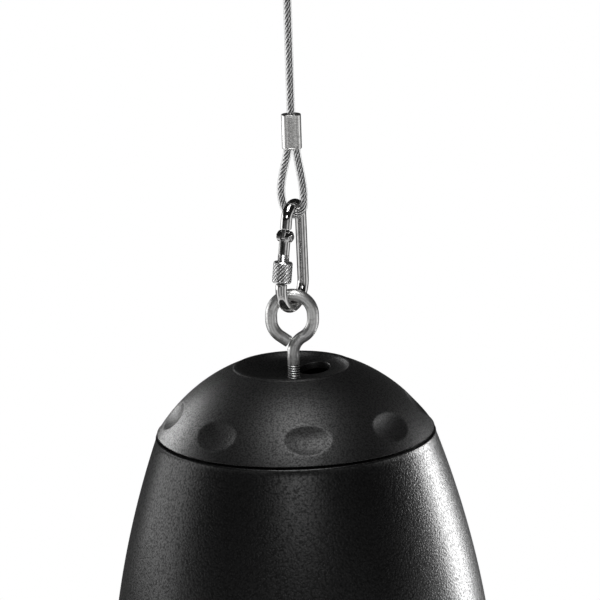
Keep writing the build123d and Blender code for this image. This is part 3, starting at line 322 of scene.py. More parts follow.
def clear_jacket(name):
    """Clear plastic: nearly unseen face on, with painted shade that greys its colour towards its edges as seen by
    the camera, and a soft gloss.
    """
    paint = Paint(name)
    edge = paint.add("ShaderNodeLayerWeight", {"Blend": 0.5}, "Facing")
    dust = paint.spots(0.8 * MM, 2.0)
    cover = 0.04 + edge ** 4.0 * 0.9 + dust * 0.03
    # Painted shade: the Layer Weight turns the colour from pale to dark grey at the silhouette, for the darker
    # refraction at the jacket's edges.
    shade = paint.mixed(edge, (0.85, 0.85, 0.85), (0.25, 0.25, 0.26))
    return paint.done(Base_Color=shade, Roughness=0.12 + dust * 0.1, Alpha=cover)


# Finishes of the record's material slots: colour, roughness, metallic, grain, depth
SLOT_FINISHES = {
    "ceiling_steel": ((0.6, 0.6, 0.59), 0.32, 1.0, 0.3 * MM, 0.006 * MM),
    "rope": ((0.42, 0.42, 0.43), 0.35, 1.0, 0.2 * MM, 0.01 * MM),
    "ferrule_nickel": ((0.66, 0.65, 0.63), 0.3, 1.0, 0.3 * MM, 0.006 * MM),
    "spring_steel": ((0.45, 0.45, 0.46), 0.25, 1.0, 0.2 * MM, 0.004 * MM),
    "foam": ((0.03, 0.03, 0.03), 0.95, 0.0, 0.6 * MM, 0.15 * MM),
    "wadding": ((0.7, 0.7, 0.68), 0.95, 0.0, 1.2 * MM, 0.6 * MM),
    "zinc_steel": ((0.55, 0.57, 0.6), 0.35, 1.0, 0.8 * MM, 0.01 * MM),
    "terminal_plastic": ((0.02, 0.02, 0.02), 0.45, 0.0, 0.5 * MM, 0.02 * MM),
    "board_laminate": ((0.3, 0.22, 0.09), 0.5, 0.0, 0.7 * MM, 0.02 * MM),
    "copper": ((0.62, 0.25, 0.1), 0.3, 1.0, 0.4 * MM, 0.05 * MM),
    "capacitor_film": ((0.4, 0.05, 0.03), 0.25, 0.0, 0.8 * MM, 0.01 * MM),
    "resistor_cement": ((0.8, 0.77, 0.7), 0.85, 0.0, 0.4 * MM, 0.08 * MM),
    "baffle_plastic": ((0.015, 0.015, 0.015), 0.6, 0.0, 0.6 * MM, 0.04 * MM),
    "grille_steel": ((0.015, 0.015, 0.015), 0.45, 0.0, 0.4 * MM, 0.03 * MM),
    "frame_steel": ((0.02, 0.02, 0.02), 0.4, 0.0, 0.4 * MM, 0.02 * MM),
    "ferrite": ((0.06, 0.06, 0.065), 0.6, 0.0, 0.3 * MM, 0.03 * MM),
    "cone_paper": ((0.035, 0.035, 0.037), 0.85, 0.0, 0.8 * MM, 0.1 * MM),
    "surround_rubber": ((0.015, 0.015, 0.015), 0.6, 0.0, 0.5 * MM, 0.02 * MM),
    "spider_cloth": ((0.5, 0.3, 0.08), 0.9, 0.0, 0.5 * MM, 0.12 * MM),
    "dome_cloth": ((0.02, 0.02, 0.02), 0.7, 0.0, 0.4 * MM, 0.05 * MM),
}


def corners(rows, columns, wrap):
    """Corner numbers of the faces between the rings of a grid whose columns close on themselves."""
    row = np.arange(rows if wrap else rows - 1)[:, None]
    column = np.arange(columns)[None, :]
    onward = (row + 1) % rows
    beside = (column + 1) % columns
    faces = [row * columns + column, row * columns + beside, onward * columns + beside,
             onward * columns + column]
    return np.stack(faces, axis=-1).reshape(-1, 4)


def skin(rings, wrap=False):
    """Closed skin over rings (rows, columns, 3): rows join in turn, and the two ends, unless they
    join each other, close with fans to their middles. Faces are turned outwards where the signed
    volume, the sum of a . (b x c) over the triangles, is negative."""
    rows, columns = rings.shape[:2]
    vertices = rings.reshape(-1, 3)
    faces = [corners(rows, columns, wrap)]
    if not wrap:
        around = np.arange(columns)
        beside = (around + 1) % columns
        last = (rows - 1) * columns
        hub = np.full(columns, len(vertices))
        faces.append(np.stack([hub, beside, around], axis=-1))
        faces.append(np.stack([hub + 1, last + around, last + beside], axis=-1))
        vertices = np.concatenate([vertices, [rings[0].mean(0), rings[-1].mean(0)]])
    volume = 0.0
    for face in faces:
        for k in range(1, face.shape[1] - 1):
            a, b, c = (vertices[face[:, n]] for n in (0, k, k + 1))
            volume += np.einsum("ij,ij->", a, np.cross(b, c))
    if volume < 0:
        faces = [face[:, ::-1] for face in faces]
    return vertices, faces


def make_mesh(name, skins):
    """Mesh of several skins, written with foreach_set."""
    vertices = np.concatenate([skin_vertices for skin_vertices, _ in skins])
    offsets = np.cumsum([0] + [len(skin_vertices) for skin_vertices, _ in skins])
    faces = [face + offset for (_, parts), offset in zip(skins, offsets) for face in parts]
    totals = np.concatenate([np.full(len(face), face.shape[1]) for face in faces])
    loops = np.concatenate([face.ravel() for face in faces])
    mesh = bpy.data.meshes.new(name)
    mesh.vertices.add(len(vertices))
    mesh.vertices.foreach_set("co", vertices.astype(np.float32).ravel())
    mesh.loops.add(len(loops))
    mesh.loops.foreach_set("vertex_index", loops.astype(np.int32))
    mesh.polygons.add(len(totals))
    mesh.polygons.foreach_set("loop_start", (np.cumsum(totals) - totals).astype(np.int32))
    mesh.update(calc_edges=True)
    mesh.validate()
    return mesh


def placed(name, data):
    """A new object in the scene."""
    made = bpy.data.objects.new(name, data)
    bpy.context.scene.collection.objects.link(made)
    return made


def piece(name, skins, body, material, replaced=(), crease=35.0, groove=None):
    """Links a shown piece, smooth except at edges sharper than crease degrees, to its body. Groove is how unshaded
    each vertex is, from 0 deep in a groove, where the colour is darkened as painted shade, to 1 on its tops."""
    mesh = make_mesh(name, skins)
    if groove is not None:
        attribute = mesh.attributes.new("groove", "FLOAT", "POINT")
        attribute.data.foreach_set("value", groove.astype(np.float32))
    made = placed(name, mesh)
    mesh.materials.append(material)
    mesh.shade_smooth()
    mesh.set_sharp_from_angle(angle=math.radians(crease))
    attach(made, body)
    if replaced:
        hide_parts(*replaced)
    return made


def unit(vectors):
    """Vectors divided by their lengths."""
    return vectors / np.linalg.norm(vectors, axis=-1, keepdims=True)


def full_turn(columns):
    """Evenly spaced angles, once round."""
    return np.linspace(0, 2 * np.pi, columns, endpoint=False)


def directions(path):
    """Directions of a path: at each point the mean of the runs before and after it."""
    runs = unit(np.diff(path, axis=0))
    return unit(np.concatenate([runs[:1], runs[:-1] + runs[1:], runs[-1:]]))


def distances(path):
    """Length of a path up to each of its points."""
    return np.concatenate([[0.0], np.cumsum(np.linalg.norm(np.diff(path, axis=0), axis=1))])


def straight(start, end, step):
    """Evenly spaced points from start to end."""
    start, end = np.array(start, float), np.array(end, float)
    count = max(2, int(np.ceil(np.linalg.norm(end - start) / step)) + 1)
    return start + (end - start) * np.linspace(0, 1, count)[:, None]


def bow(centre, radius, start, end, step):
    """Points centre + radius (cos a, sin a) for a from start to end, in degrees."""
    angle = np.radians(np.linspace(start, end, max(3, int(abs(end - start) / step) + 1)))
    return np.array(centre) + radius * np.stack([np.cos(angle), np.sin(angle)], axis=-1)


def joined(*stretches):
    """One path from stretches that start where the one before ends."""
    return np.concatenate([stretches[0]] + [stretch[1:] for stretch in stretches[1:]])


def rod_rings(path, normal, radius, columns=40):
    """Rings round a path that lies in one plane: p + r (cos a (t x n) + sin a n), where t is the
    path's direction, n the plane's normal and r one radius or one a row and column."""
    angle = full_turn(columns)
    normal = unit(np.array(normal, float))
    side = unit(np.cross(directions(path), normal))
    radius = np.broadcast_to(radius, (len(path), columns))
    offset = np.cos(angle)[None, :, None] * side[:, None] + np.sin(angle)[None, :, None] * normal
    return path[:, None] + radius[..., None] * offset


def turned_rings(profile, columns, centre=(0.0, 0.0, 0.0)):
    """Rings of a profile (radius, height) turned about an upright axis:
    (x + r cos a, y + r sin a, z + height)."""
    angle = full_turn(columns)
    radius, height = profile[:, 0][:, None], profile[:, 1][:, None]
    return np.stack([
        centre[0] + radius * np.cos(angle),
        centre[1] + radius * np.sin(angle),
        np.broadcast_to(centre[2] + height, (len(profile), columns)),
    ], axis=-1)


def smooth_route(points, steps=12):
    """Points of the smooth line, a NURBS spline of order 3, whose control points are given."""
    curve = bpy.data.curves.new("route", "CURVE")
    curve.dimensions = "3D"
    curve.resolution_u = steps
    spline = curve.splines.new("NURBS")
    spline.points.add(len(points) - 1)
    for point, place in zip(spline.points, points):
        point.co = (*place, 1.0)
    spline.order_u = 3
    spline.use_endpoint_u = True
    holder = bpy.data.objects.new("route", curve)
    mesh = bpy.data.meshes.new_from_object(holder)
    flat = np.zeros(3 * len(mesh.vertices), np.float32)
    mesh.vertices.foreach_get("co", flat)
    bpy.data.objects.remove(holder)
    bpy.data.curves.remove(curve)
    bpy.data.meshes.remove(mesh)
    return flat.reshape(-1, 3).astype(float)


def even_route(route, step):
    """The route's points moved along it to even spacing."""
    along = distances(route)
    wanted = np.linspace(0, along[-1], max(2, int(along[-1] / step) + 1))
    return np.stack([np.interp(wanted, along, route[:, k]) for k in range(3)], axis=-1)


def wire_skins(route, normal, core, lay, wires, columns=16):
    """Wires wound round a route that lies in one plane, over a core. A wire's middle is p + R (cos b side + sin b
    n), with b growing by one turn a lay; the wires touch, so that their radius is R sin(pi / wires). Gives the
    skins, and how unshaded each vertex is, for painted shade between the wires: (cos a - 0.55) / 0.4 with a round
    a wire from its outermost line, and 0 on the core."""
    route = even_route(route, 0.45 * MM)
    along = distances(route)
    side = unit(np.cross(directions(route), normal))
    share = math.sin(math.pi / wires)
    circle = core / 2 / (1 + share)
    skins, unshaded = [], []
    for k in range(wires):
        turn = 2 * np.pi * (k / wires - along / lay)
        radial = np.cos(turn)[:, None] * side + np.sin(turn)[:, None] * normal
        middle = route + radial * circle
        forward = directions(middle)
        first = unit(radial - np.sum(radial * forward, axis=1, keepdims=True) * forward)
        second = np.cross(forward, first)
        angle = full_turn(columns)[None, :, None]
        rings = middle[:, None] + circle * share * (
            np.cos(angle) * first[:, None] + np.sin(angle) * second[:, None])
        skins.append(skin(rings))
        # Painted shade: each wire is darkened on its sides and underside, where it meets its neighbours, and the
        # core is darkened all over.
        top = np.clip((np.cos(angle[..., 0]) - 0.55) / 0.4, 0, 1)
        unshaded += [np.broadcast_to(top, rings.shape[:2]).ravel(), np.ones(2)]
    middle = skin(rod_rings(route, normal, circle * (1 - 0.6 * share), 16))
    unshaded.append(np.zeros(len(middle[0])))
    return skins + [middle], np.concatenate(unshaded)


def speaker_point(points):
    """Moves (x, z) points, measured from the cap's rim on the cap's axis, into the frame."""
    return np.stack([points[:, 0] + axis_x, np.zeros(len(points)), points[:, 1] + rim_z], axis=-1)


def carabiner_point(points):
    """Moves (across, up) points of the carabiner's plane into the frame."""
    return carabiner_foot + points[:, :1] * carabiner_across + points[:, 1:] * carabiner_up


class STAGE_OT_build(bpy.types.Operator):
    """Floor, lamps, white surroundings and the camera of the photograph's view"""
    bl_idname = "speaker.stage"
    bl_label = "Stage"

    # Brightness round the room, from behind the part past its left, the camera and its right
    uprights = (
        (0.0, 0.05), (0.18, 0.06), (0.225, 0.85), (0.29, 0.85), (0.32, 0.2), (0.35, 0.08),
        (0.38, 0.12), (0.405, 0.6), (0.43, 0.75), (0.455, 0.2), (0.48, 0.12), (0.52, 0.14),
        (0.555, 0.5), (0.6, 0.6), (0.63, 0.1), (0.67, 0.08), (0.7, 0.45), (0.72, 0.85),
        (0.78, 0.85), (0.82, 0.07), (1.0, 0.05),
    )
    # Lamps: name, degrees round from the camera, distance, height, size, brightness
    lamps = (
        ("left_softbox", -110, 1.15, -0.12, (0.95, 0.6), 1.5),
        ("left_back_softbox", -134, 1.15, 0.04, (0.5, 0.4), 7.0),
        ("right_strip", 121, 1.05, -0.34, (0.34, 0.46), 15.0),
        ("front_softbox", 0, 1.5, 0.38, (0.65, 0.3), 3.6),
        ("top_softbox", 0, 0.42, 1.0, (0.6, 0.9), 6.0),
    )
    lamps_face = (0, 0, -0.28)
    # Middle of the photograph, from the cap's rim on its axis
    aim_right, aim_up = 4.43 * MM, 35.1 * MM
    # Radii of the floor, and where it starts and ends to fade
    floor_edges = (0.02, 0.4, 0.8)
    fade_from, fade_to = 0.45, 0.75

    def execute(self, context):
        sizes = context.scene.speaker_stage
        scene = context.scene
        scene.view_settings.view_transform = "Standard"
        self.camera(scene, sizes)
        self.floor(sizes)
        self.world(scene)
        for lamp in self.lamps:
            self.lamp(*lamp)
        return {"FINISHED"}

    def camera(self, scene, sizes):
        """Camera at the photograph's angle: right = c R - s U and up = s R + c U for its roll."""
        aim = Vector((axis_x + self.aim_right, 0, rim_z + self.aim_up))
        sine, cosine = math.sin(sizes.elevation), math.cos(sizes.elevation)
        back = Vector((0, -cosine, sine))
        level, upward = Vector((1, 0, 0)), Vector((0, sine, cosine))
        roll_sine, roll_cosine = math.sin(sizes.roll), math.cos(sizes.roll)
        right = level * roll_cosine - upward * roll_sine
        up = level * roll_sine + upward * roll_cosine
        data = bpy.data.cameras.new("camera")
        data.lens = sizes.lens
        data.sensor_width = 36.0
        data.clip_start = 0.1
        data.clip_end = 50
        made = placed("camera", data)
        turn = Matrix((right, up, back)).transposed()
        made.matrix_world = Matrix.Translation(aim + back * sizes.distance) @ turn.to_4x4()
        scene.camera = made

    def floor(self, sizes):
        """Round pale floor that keeps the shadow near the part, fades to white away from it, and
        can be looked through from below."""
        level = cad_box[0].z - sizes.drop
        profile = np.array([[radius, level] for radius in self.floor_edges])
        rings = turned_rings(np.concatenate([profile, profile[::-1] - [0.0, 0.01]]), 96)
        nodes = Paint("pale_floor")
        flat = nodes.add("ShaderNodeVectorMath", {0: nodes.place, 1: (1, 1, 0)},
                         operation="MULTIPLY")
        radius = nodes.add("ShaderNodeVectorMath", {0: flat}, "Value", operation="LENGTH")
        camera, clear, _ = self.rays(nodes)
        shown = radius.between(self.fade_from, self.fade_to) * (camera + clear)
        matt = nodes.add("ShaderNodeBsdfDiffuse", {"Color": tuple(sizes.floor)})
        glow = nodes.add("ShaderNodeEmission", {"Color": (1, 1, 1), "Strength": 1.0})
        mix = nodes.add("ShaderNodeMixShader", {0: shown, 1: matt, 2: glow})
        facing = nodes.add("ShaderNodeNewGeometry", output="Normal")
        above = nodes.add("ShaderNodeSeparateXYZ", {0: facing}, 2).between(-0.1, 0.1)
        hidden = nodes.add("ShaderNodeBsdfTransparent", {"Color": (1, 1, 1)})
        whole = nodes.add("ShaderNodeMixShader", {0: above, 1: hidden, 2: mix})
        nodes.add("ShaderNodeOutputMaterial", {"Surface": whole})
        made = placed("floor", make_mesh("floor", [skin(rings)]))
        made.data.materials.append(nodes.material)

    def rays(self, nodes):
        """Whether a ray comes from the camera, passes through glass, or is mirrored."""
        path = nodes.tree.nodes.new("ShaderNodeLightPath")
        kinds = ("Is Camera Ray", "Is Transmission Ray", "Is Glossy Ray")
        return [Value(nodes, path.outputs[kind]) for kind in kinds]

    def world(self, scene):
        """White where the camera looks, soft grey light, and for gloss a dark room with paler and
        darker uprights below the horizon."""
        world = bpy.data.worlds.new("surroundings")
        world.use_nodes = True
        scene.world = world
        nodes = Nodes(world.node_tree)
        way = nodes.add("ShaderNodeTexCoord", output="Generated")
        split = nodes.tree.nodes.new("ShaderNodeSeparateXYZ")
        nodes.tree.links.new(way.socket, split.inputs[0])
        x, y, z = (Value(nodes, split.outputs[k]) for k in range(3))
        low = (0.0 - z).between(-0.05, 0.08)
        around = nodes.add("ShaderNodeMath", {0: x, 1: 0.0 - y}, operation="ARCTAN2")
        uprights = nodes.add("ShaderNodeValToRGB", {0: around * (0.5 / math.pi) + 0.5},
                             stops=self.uprights)
        reflected = 0.012 + low * uprights
        camera, clear, glossy = self.rays(nodes)
        soft, mirrored, white = (
            nodes.add("ShaderNodeBackground", {"Color": (1, 1, 1), "Strength": strength})
            for strength in (0.4, reflected, 1.0))
        inner = nodes.add("ShaderNodeMixShader", {0: glossy, 1: soft, 2: mirrored})
        whole = nodes.add("ShaderNodeMixShader", {0: camera + clear, 1: inner, 2: white})
        nodes.add("ShaderNodeOutputWorld", {"Surface": whole})

    def lamp(self, name, turn, distance, height, size, brightness):
        """Rectangular lamp that faces the part and isn't seen by the camera. Its power is pi times
        its area times its brightness, where white is 1."""
        data = bpy.data.lights.new(name, "AREA")
        data.shape = "RECTANGLE"
        data.size, data.size_y = size
        data.energy = math.pi * size[0] * size[1] * brightness
        made = placed(name, data)
        turn = math.radians(turn)
        place = Vector((distance * math.sin(turn), -distance * math.cos(turn), height))
        facing = (Vector(self.lamps_face) - place).to_track_quat("-Z", "Y")
        made.matrix_world = Matrix.Translation(place) @ facing.to_matrix().to_4x4()
        made.visible_camera = False


class ROPE_OT_build(bpy.types.Operator):
    """Wire rope in its clear jacket, the rope's eye and the pressed ferrule"""
    bl_idname = "speaker.rope"
    bl_label = "Rope"

    # Route points of the eye in mm, to the right of and above the carabiner's narrow bend
    eye_line = (
        (2.45, 31.0), (2.5, 27.5), (4.4, 18.5), (5.95, 9.0), (6.0, 2.4), (5.65, -2.34),
        (2.34, -5.66), (-2.34, -5.66),
        (-5.75, -2.34), (-7.2, 2.4), (-7.5, 8.5), (-5.5, 18.0), (-2.55, 27.5), (-2.45, 31.0),
    )
    # The ferrule's directions across its face and out of it
    ferrule_across = np.array([0.996, 0.087, 0])
    ferrule_out = np.array([-0.087, 0.996, 0])

    def execute(self, context):
        sizes = context.scene.speaker_rope
        jacket = clear_jacket("clear_jacket")
        steel = polished_metal("strand_steel", tuple(sizes.steel), 0.3, 0.15 * MM, groove_shaded=True)
        route = smooth_route([
            (0, 0, rope_high.z),
            (0, 0, (rope_high.z + rope_low.z) / 2),
            (0, 0, rope_low.z),
        ])
        route[:, 2] = np.clip(route[:, 2], rope_low.z, rope_high.z)
        wires, unshaded = wire_skins(route, eye_normal, sizes.core, sizes.lay, sizes.wires)
        core = piece("rope_wires", wires, "hanger", steel, groove=unshaded)
        tube = rod_rings(route, eye_normal, sizes.jacket / 2, 36)
        rope = piece("rope_jacket", [skin(tube)], "hanger", jacket, ["suspension_rope"])
        eye = self.eye(sizes, steel, jacket)
        ferrule = self.ferrule(sizes)
        return {"FINISHED"}

    def eye(self, sizes, steel, jacket):
        """The teardrop loop round the carabiner's narrow bend, along its own smooth route."""
        out = eye_side * math.copysign(1.0, eye_side[0])
        points = [carabiner_head + out * x * MM + np.array([0, 0, z * MM])
                  for x, z in self.eye_line]
        line = smooth_route(points)
        wires, unshaded = wire_skins(line, eye_normal, sizes.core, sizes.lay, sizes.wires)
        inner = piece("eye_wires", wires, "hanger", steel, groove=unshaded)
        tube = rod_rings(even_route(line, 0.8 * MM), eye_normal, sizes.jacket / 2, 36)
        outer = piece("eye_jacket", [skin(tube)], "hanger", jacket, ["rope_eye"])
        return [inner, outer]

    def ferrule(self, sizes):
        """Pressed sleeve. Its section is a slot, |x| past the flat on two half circles; the middle
        band of each face is pressed in, with low ripples up it, and the ends are rounded."""
        low, high = ferrule_low.z, ferrule_high.z
        round_end = 0.7 * MM
        half_width, half_depth = 5.2 * MM, 3.9 * MM
        band_half, band_depth, band_end = 3.1 * MM, 0.3 * MM, 1.4 * MM
        ripple_height, ripple_pitch = 0.03 * MM, 0.85 * MM
        angle = full_turn(120)
        flat = half_width - half_depth
        x = half_depth * np.cos(angle) + flat * np.clip(np.cos(angle) * 6, -1, 1)
        y = half_depth * np.sin(angle)
        height = np.linspace(low, high, 110)
        up, down = height - low, high - height
        inset = np.clip(round_end - up, 0, None) + np.clip(round_end - down, 0, None)
        inset = round_end - np.sqrt(np.clip(round_end ** 2 - inset ** 2, 0, None))
        band = 1 / (1 + np.exp((np.abs(x) - band_half) / (0.09 * MM)))
        ripple = ripple_height * np.sin(2 * np.pi * up / ripple_pitch)[:, None]
        ends = np.clip(up / band_end, 0, 1) * np.clip(down / band_end, 0, 1)
        pressed = (band_depth + ripple) * band[None] * ends[:, None] * np.sign(y)[None]
        scale_x = 1 - inset / half_width
        scale_y = 1 - inset / half_depth
        xs = x[None] * scale_x[:, None]
        ys = y[None] * scale_y[:, None] - pressed * np.clip(np.abs(y) / (2.2 * MM), 0, 1)[None]
        rings = xs[..., None] * self.ferrule_across + ys[..., None] * self.ferrule_out
        rings[..., 2] += height[:, None]
        nickel = polished_metal("ferrule_nickel", tuple(sizes.nickel), 0.26, 0.25 * MM)
        return piece("ferrule", [skin(rings)], "hanger", nickel, ["rope_ferrule"])


class CARABINER_OT_build(bpy.types.Operator):
    """Bent rod with its tongue, and the knurled sleeve and thread of the gate"""
    bl_idname = "speaker.carabiner"
    bl_label = "Carabiner"

    wide_bend = 12.0 * MM
    narrow_bend = 7.75 * MM
    pivot = 26.3 * MM
    shoulder = 30.0 * MM
    nose = 0.9 * MM

    def execute(self, context):
        sizes = context.scene.speaker_carabiner
        chrome = polished_metal("carabiner_chrome", tuple(sizes.chrome), 0.07)
        self.lines()
        self.rod(sizes, chrome)
        self.sleeve(sizes)
        self.channel()
        return {"FINISHED"}

    def lines(self):
        """Where the sides touch the bends. Both sides lean by asin((R - r) / spacing)."""
        self.height = np.linalg.norm(carabiner_head - carabiner_foot)
        spacing = self.height - self.wide_bend - self.narrow_bend
        lean = math.asin((self.wide_bend - self.narrow_bend) / spacing)
        self.lean = math.degrees(lean)
        self.outwards = np.array([math.cos(lean), math.sin(lean)])
        self.inwards = self.outwards * [-1, 1]
        self.wide_middle = np.array([0, self.wide_bend])
        self.narrow_middle = np.array([0, self.height - self.narrow_bend])
        self.foot = self.wide_middle + self.inwards * self.wide_bend
        self.head = self.narrow_middle + self.inwards * self.narrow_bend
        self.way = unit(self.head - self.foot)
        self.gate_foot = carabiner_point(self.foot[None])[0]
        self.gate_way = unit(carabiner_point((self.foot + self.way)[None])[0] - self.gate_foot)

    def rod(self, sizes, chrome):
        """Tube along the rod's line, with a rounded nose and shoulder, and the flat tongue."""
        step, end_step = 0.6 * MM, 0.15 * MM
        spine_foot = self.wide_middle + self.outwards * self.wide_bend
        spine_head = self.narrow_middle + self.outwards * self.narrow_bend
        line = joined(
            straight(self.foot + self.way * self.nose, self.foot, end_step),
            bow(self.wide_middle, self.wide_bend, 180 - self.lean, 360 + self.lean, 3.0),
            straight(spine_foot, spine_head, step),
            bow(self.narrow_middle, self.narrow_bend, self.lean, 180 - self.lean, 3.0),
            straight(self.head, self.foot + self.way * self.shoulder, end_step),
        )
        along = distances(line)
        edge = 0.5 * MM
        near = np.clip(edge - np.minimum(along, along[-1] - along), 0, edge)
        radius = sizes.rod / 2 - (edge - np.sqrt(edge ** 2 - near ** 2))
        rings = rod_rings(carabiner_point(line), carabiner_out, radius[:, None], 44)
        piece("carabiner_rod", [skin(rings), self.tongue()], "carabiner", chrome,
              ["carabiner_body"])

    def tongue(self):
        """Flat plate: its outline is carried through its thickness, drawn in at both faces."""
        half, edge, thick = 2.4 * MM, 0.15 * MM, 1.1 * MM
        around = np.radians(np.linspace(180, 360, 25))
        outline = np.stack([half * np.cos(around), self.pivot + half * np.sin(around)], axis=-1)
        top = self.shoulder + 1.0 * MM
        outline = np.concatenate([[[-half, top]], outline, [[half, top]]])
        middle = outline.mean(0)
        across = np.array([self.way[1], -self.way[0]])
        rings = []
        for depth, shrink in ((-thick, edge), (edge - thick, 0), (thick - edge, 0), (thick, edge)):
            flat = middle + (outline - middle) * (1 - shrink / half)
            plane = self.foot + flat[:, :1] * across + flat[:, 1:] * self.way
            rings.append(carabiner_point(plane) + carabiner_out * depth)
        return skin(np.array(rings))

    def sleeve(self, sizes):
        """Tube whose outside is cut by two crossing sets of grooves, the second one shallower: the
        radius falls by depth |cos| to a power, in the angle plus or minus the height."""
        bottom, length, chamfer = 1.7 * MM, 11.3 * MM, 0.8 * MM
        outer, inner = sizes.sleeve / 2, 3.2 * MM
        rise = np.linspace(0, length, 84)
        edge = np.minimum(rise, length - rise)
        body = outer - np.clip(chamfer - edge, 0, None) * 0.8
        angle = full_turn(264)
        slant = rise[:, None] / outer
        sharpness, second_share = 5, 0.25
        first, second = (np.abs(np.cos((angle + side * slant) * sizes.knurls / 2)) ** sharpness
                         for side in (1, -1))
        fade = np.clip((edge - 0.5 * chamfer) / chamfer, 0, 1)[:, None]
        cut = np.maximum(first, second_share * second) * fade
        outside = body[:, None] - sizes.knurl_depth * cut
        # Painted shade: the knurl's grooves get a low value that darkens the chrome's colour in them, as deep as
        # they are cut.
        unshaded = np.concatenate([1 - cut, np.ones((2, len(angle)))]).ravel()
        wall = np.concatenate([outside, np.full((2, len(angle)), inner)])
        height = bottom + np.concatenate([rise, [length, 0.0]])
        chrome = polished_metal("sleeve_chrome", (0.88, 0.88, 0.88), 0.28, groove_shaded=True)
        rings = self.about_gate(wall, height, angle)
        piece("knurled_sleeve", [skin(rings, wrap=True)], "sleeve", chrome,
              ["locking_sleeve"], groove=unshaded)
        self.thread(bottom + 0.5 * length, angle[::6])

    def thread(self, low, angle):
        """Fine thread of the gate under the sleeve: the radius grows by a triangle wave of
        height / pitch - angle / one turn."""
        pitch, root, ridge_height, bore = 0.6 * MM, 2.86 * MM, 0.22 * MM, 2.6 * MM
        high = self.pivot - 9.6 * MM
        rise = np.linspace(low, high, 90)
        wave = np.abs(((rise[:, None] / pitch - angle / (2 * np.pi)) % 1) * 2 - 1)
        wall = np.concatenate([root + ridge_height * wave, np.full((2, len(angle)), bore)])
        height = np.concatenate([rise, [high, low]])
        rings = self.about_gate(wall, height, angle)
        steel = polished_metal("gate_thread_steel", (0.6, 0.6, 0.6), 0.15)
        piece("gate_thread", [skin(rings, wrap=True)], "gate", steel)

    def channel(self):
        """Painted shade in the back of the gate's slot: a near-black strip between chords of the rod's round, x =
        sqrt(r^2 - y^2) outside and flat inside, carried up the gate to just under the tongue, where the open slot
        shows only shade."""
        half, radius, flat_at = 1.25 * MM, 2.85 * MM, 1.5 * MM
        levels = ((16.8 * MM, 1.0), (23.4 * MM, 1.0), (23.6 * MM, 0.9))
        out = np.linspace(-half, half, 9)
        outer = np.stack([np.sqrt(radius ** 2 - out ** 2), out], axis=-1)
        outline = np.concatenate([outer, [(flat_at, half), (flat_at, -half)]])
        middle = outline.mean(0)
        side = np.cross(carabiner_out, self.gate_way)
        rings = []
        for height, share in levels:
            flat = middle + (outline - middle) * share
            level = self.gate_foot + height * self.gate_way
            rings.append(level + flat[:, :1] * side + flat[:, 1:] * carabiner_out)
        # Painted shade: the strip's dark colour, 0.12, stands in for the shade inside the open slot.
        dark = polished_metal("channel_steel", (0.12, 0.12, 0.12), 0.3)
        piece("gate_channel", [skin(np.array(rings))], "gate", dark)

    def about_gate(self, radius, height, angle):
        """Points at a radius (rows, columns) and height about the gate's own line."""
        side = np.cross(self.gate_way, carabiner_out)
        ring = np.cos(angle)[:, None] * side + np.sin(angle)[:, None] * carabiner_out
        level = self.gate_foot + height[:, None, None] * self.gate_way
        return level + radius[..., None] * ring[None]


class EYEBOLT_OT_build(bpy.types.Operator):
    """Threaded rod bent into an open ring"""
    bl_idname = "speaker.eyebolt"
    bl_label = "Eyebolt"

    def execute(self, context):
        sizes = context.scene.speaker_eyebolt
        wire = sizes.wire / 2
        bend, stretch, neck_bend, above, leaves = 11.0 * MM, 2.3 * MM, 10.0 * MM, 27.1 * MM, 234.0
        low = above - stretch
        neck = low - math.sqrt((neck_bend + bend) ** 2 - neck_bend ** 2)
        rise = math.degrees(math.atan2(low - neck, neck_bend))
        leave = math.radians(leaves)
        last = np.array([bend * math.cos(leave), low + bend * math.sin(leave)])
        heading = np.array([-math.sin(leave), math.cos(leave)])
        inner = np.array([-heading[1], heading[0]]) * wire
        tails = np.arange(0, 2 * bend, 0.1 * MM)
        corner = last + tails[:, None] * heading + inner
        tip_gap = 0.5 * MM
        from_neck = np.hypot(corner[:, 0] - neck_bend, corner[:, 1] - neck)
        tail = tails[np.argmax(from_neck < neck_bend + wire + tip_gap)]
        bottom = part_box("eyebolt")[0].z - rim_z
        shank = straight((0, bottom), (0, neck), sizes.pitch / 14)
        line = joined(
            shank,
            bow((neck_bend, neck), neck_bend, 180, 180 - rise, 2.5),
            bow((0, low), bend, -rise, 0, 2.5),
            straight((bend, low), (bend, above), 0.5 * MM),
            bow((0, above), bend, 0, 180, 2.5),
            straight((-bend, above), (-bend, low), 0.5 * MM),
            bow((0, low), bend, 180, leaves, 2.5),
            straight(last, last + heading * tail, 0.1 * MM),
        )
        along = distances(line)
        columns = 48
        angle = full_turn(columns)
        rise = line[:, 1][:, None]
        wave = np.abs(((rise / sizes.pitch - angle / (2 * np.pi)) % 1) * 2 - 1)
        ridge = np.clip(wave * 1.35 - 0.12, 0, 1)
        thread_end, thread_fade = 0.9 * MM, 0.8 * MM
        straight_part = (np.arange(len(line)) < len(shank))[:, None]
        runout = np.clip((thread_end - rise) / thread_fade, 0, 1) * straight_part
        edge = 0.35 * MM
        near = np.clip(edge - (along[-1] - along), 0, edge)
        near = np.maximum(near, np.clip(edge - along, 0, edge))[:, None]
        groove = (1 - ridge) * runout
        radius = wire - sizes.depth * groove - (edge - np.sqrt(edge ** 2 - near ** 2)) * 0.7
        rings = rod_rings(speaker_point(line), (0, 1, 0), radius, columns)
        # Painted shade: the thread's grooves get a low value that darkens the steel's colour in them.
        unshaded = np.append((1 - 0.9 * groove).ravel(), [1.0, 1.0])
        steel = polished_metal("eyebolt_steel", tuple(sizes.steel), 0.36, 0.5 * MM, 0.004 * MM,
                               (1, 1, 0.5), groove_shaded=True)
        piece("eyebolt_rod", [skin(rings)], "speaker", steel, ["eyebolt"],
              crease=50, groove=unshaded)
        return {"FINISHED"}


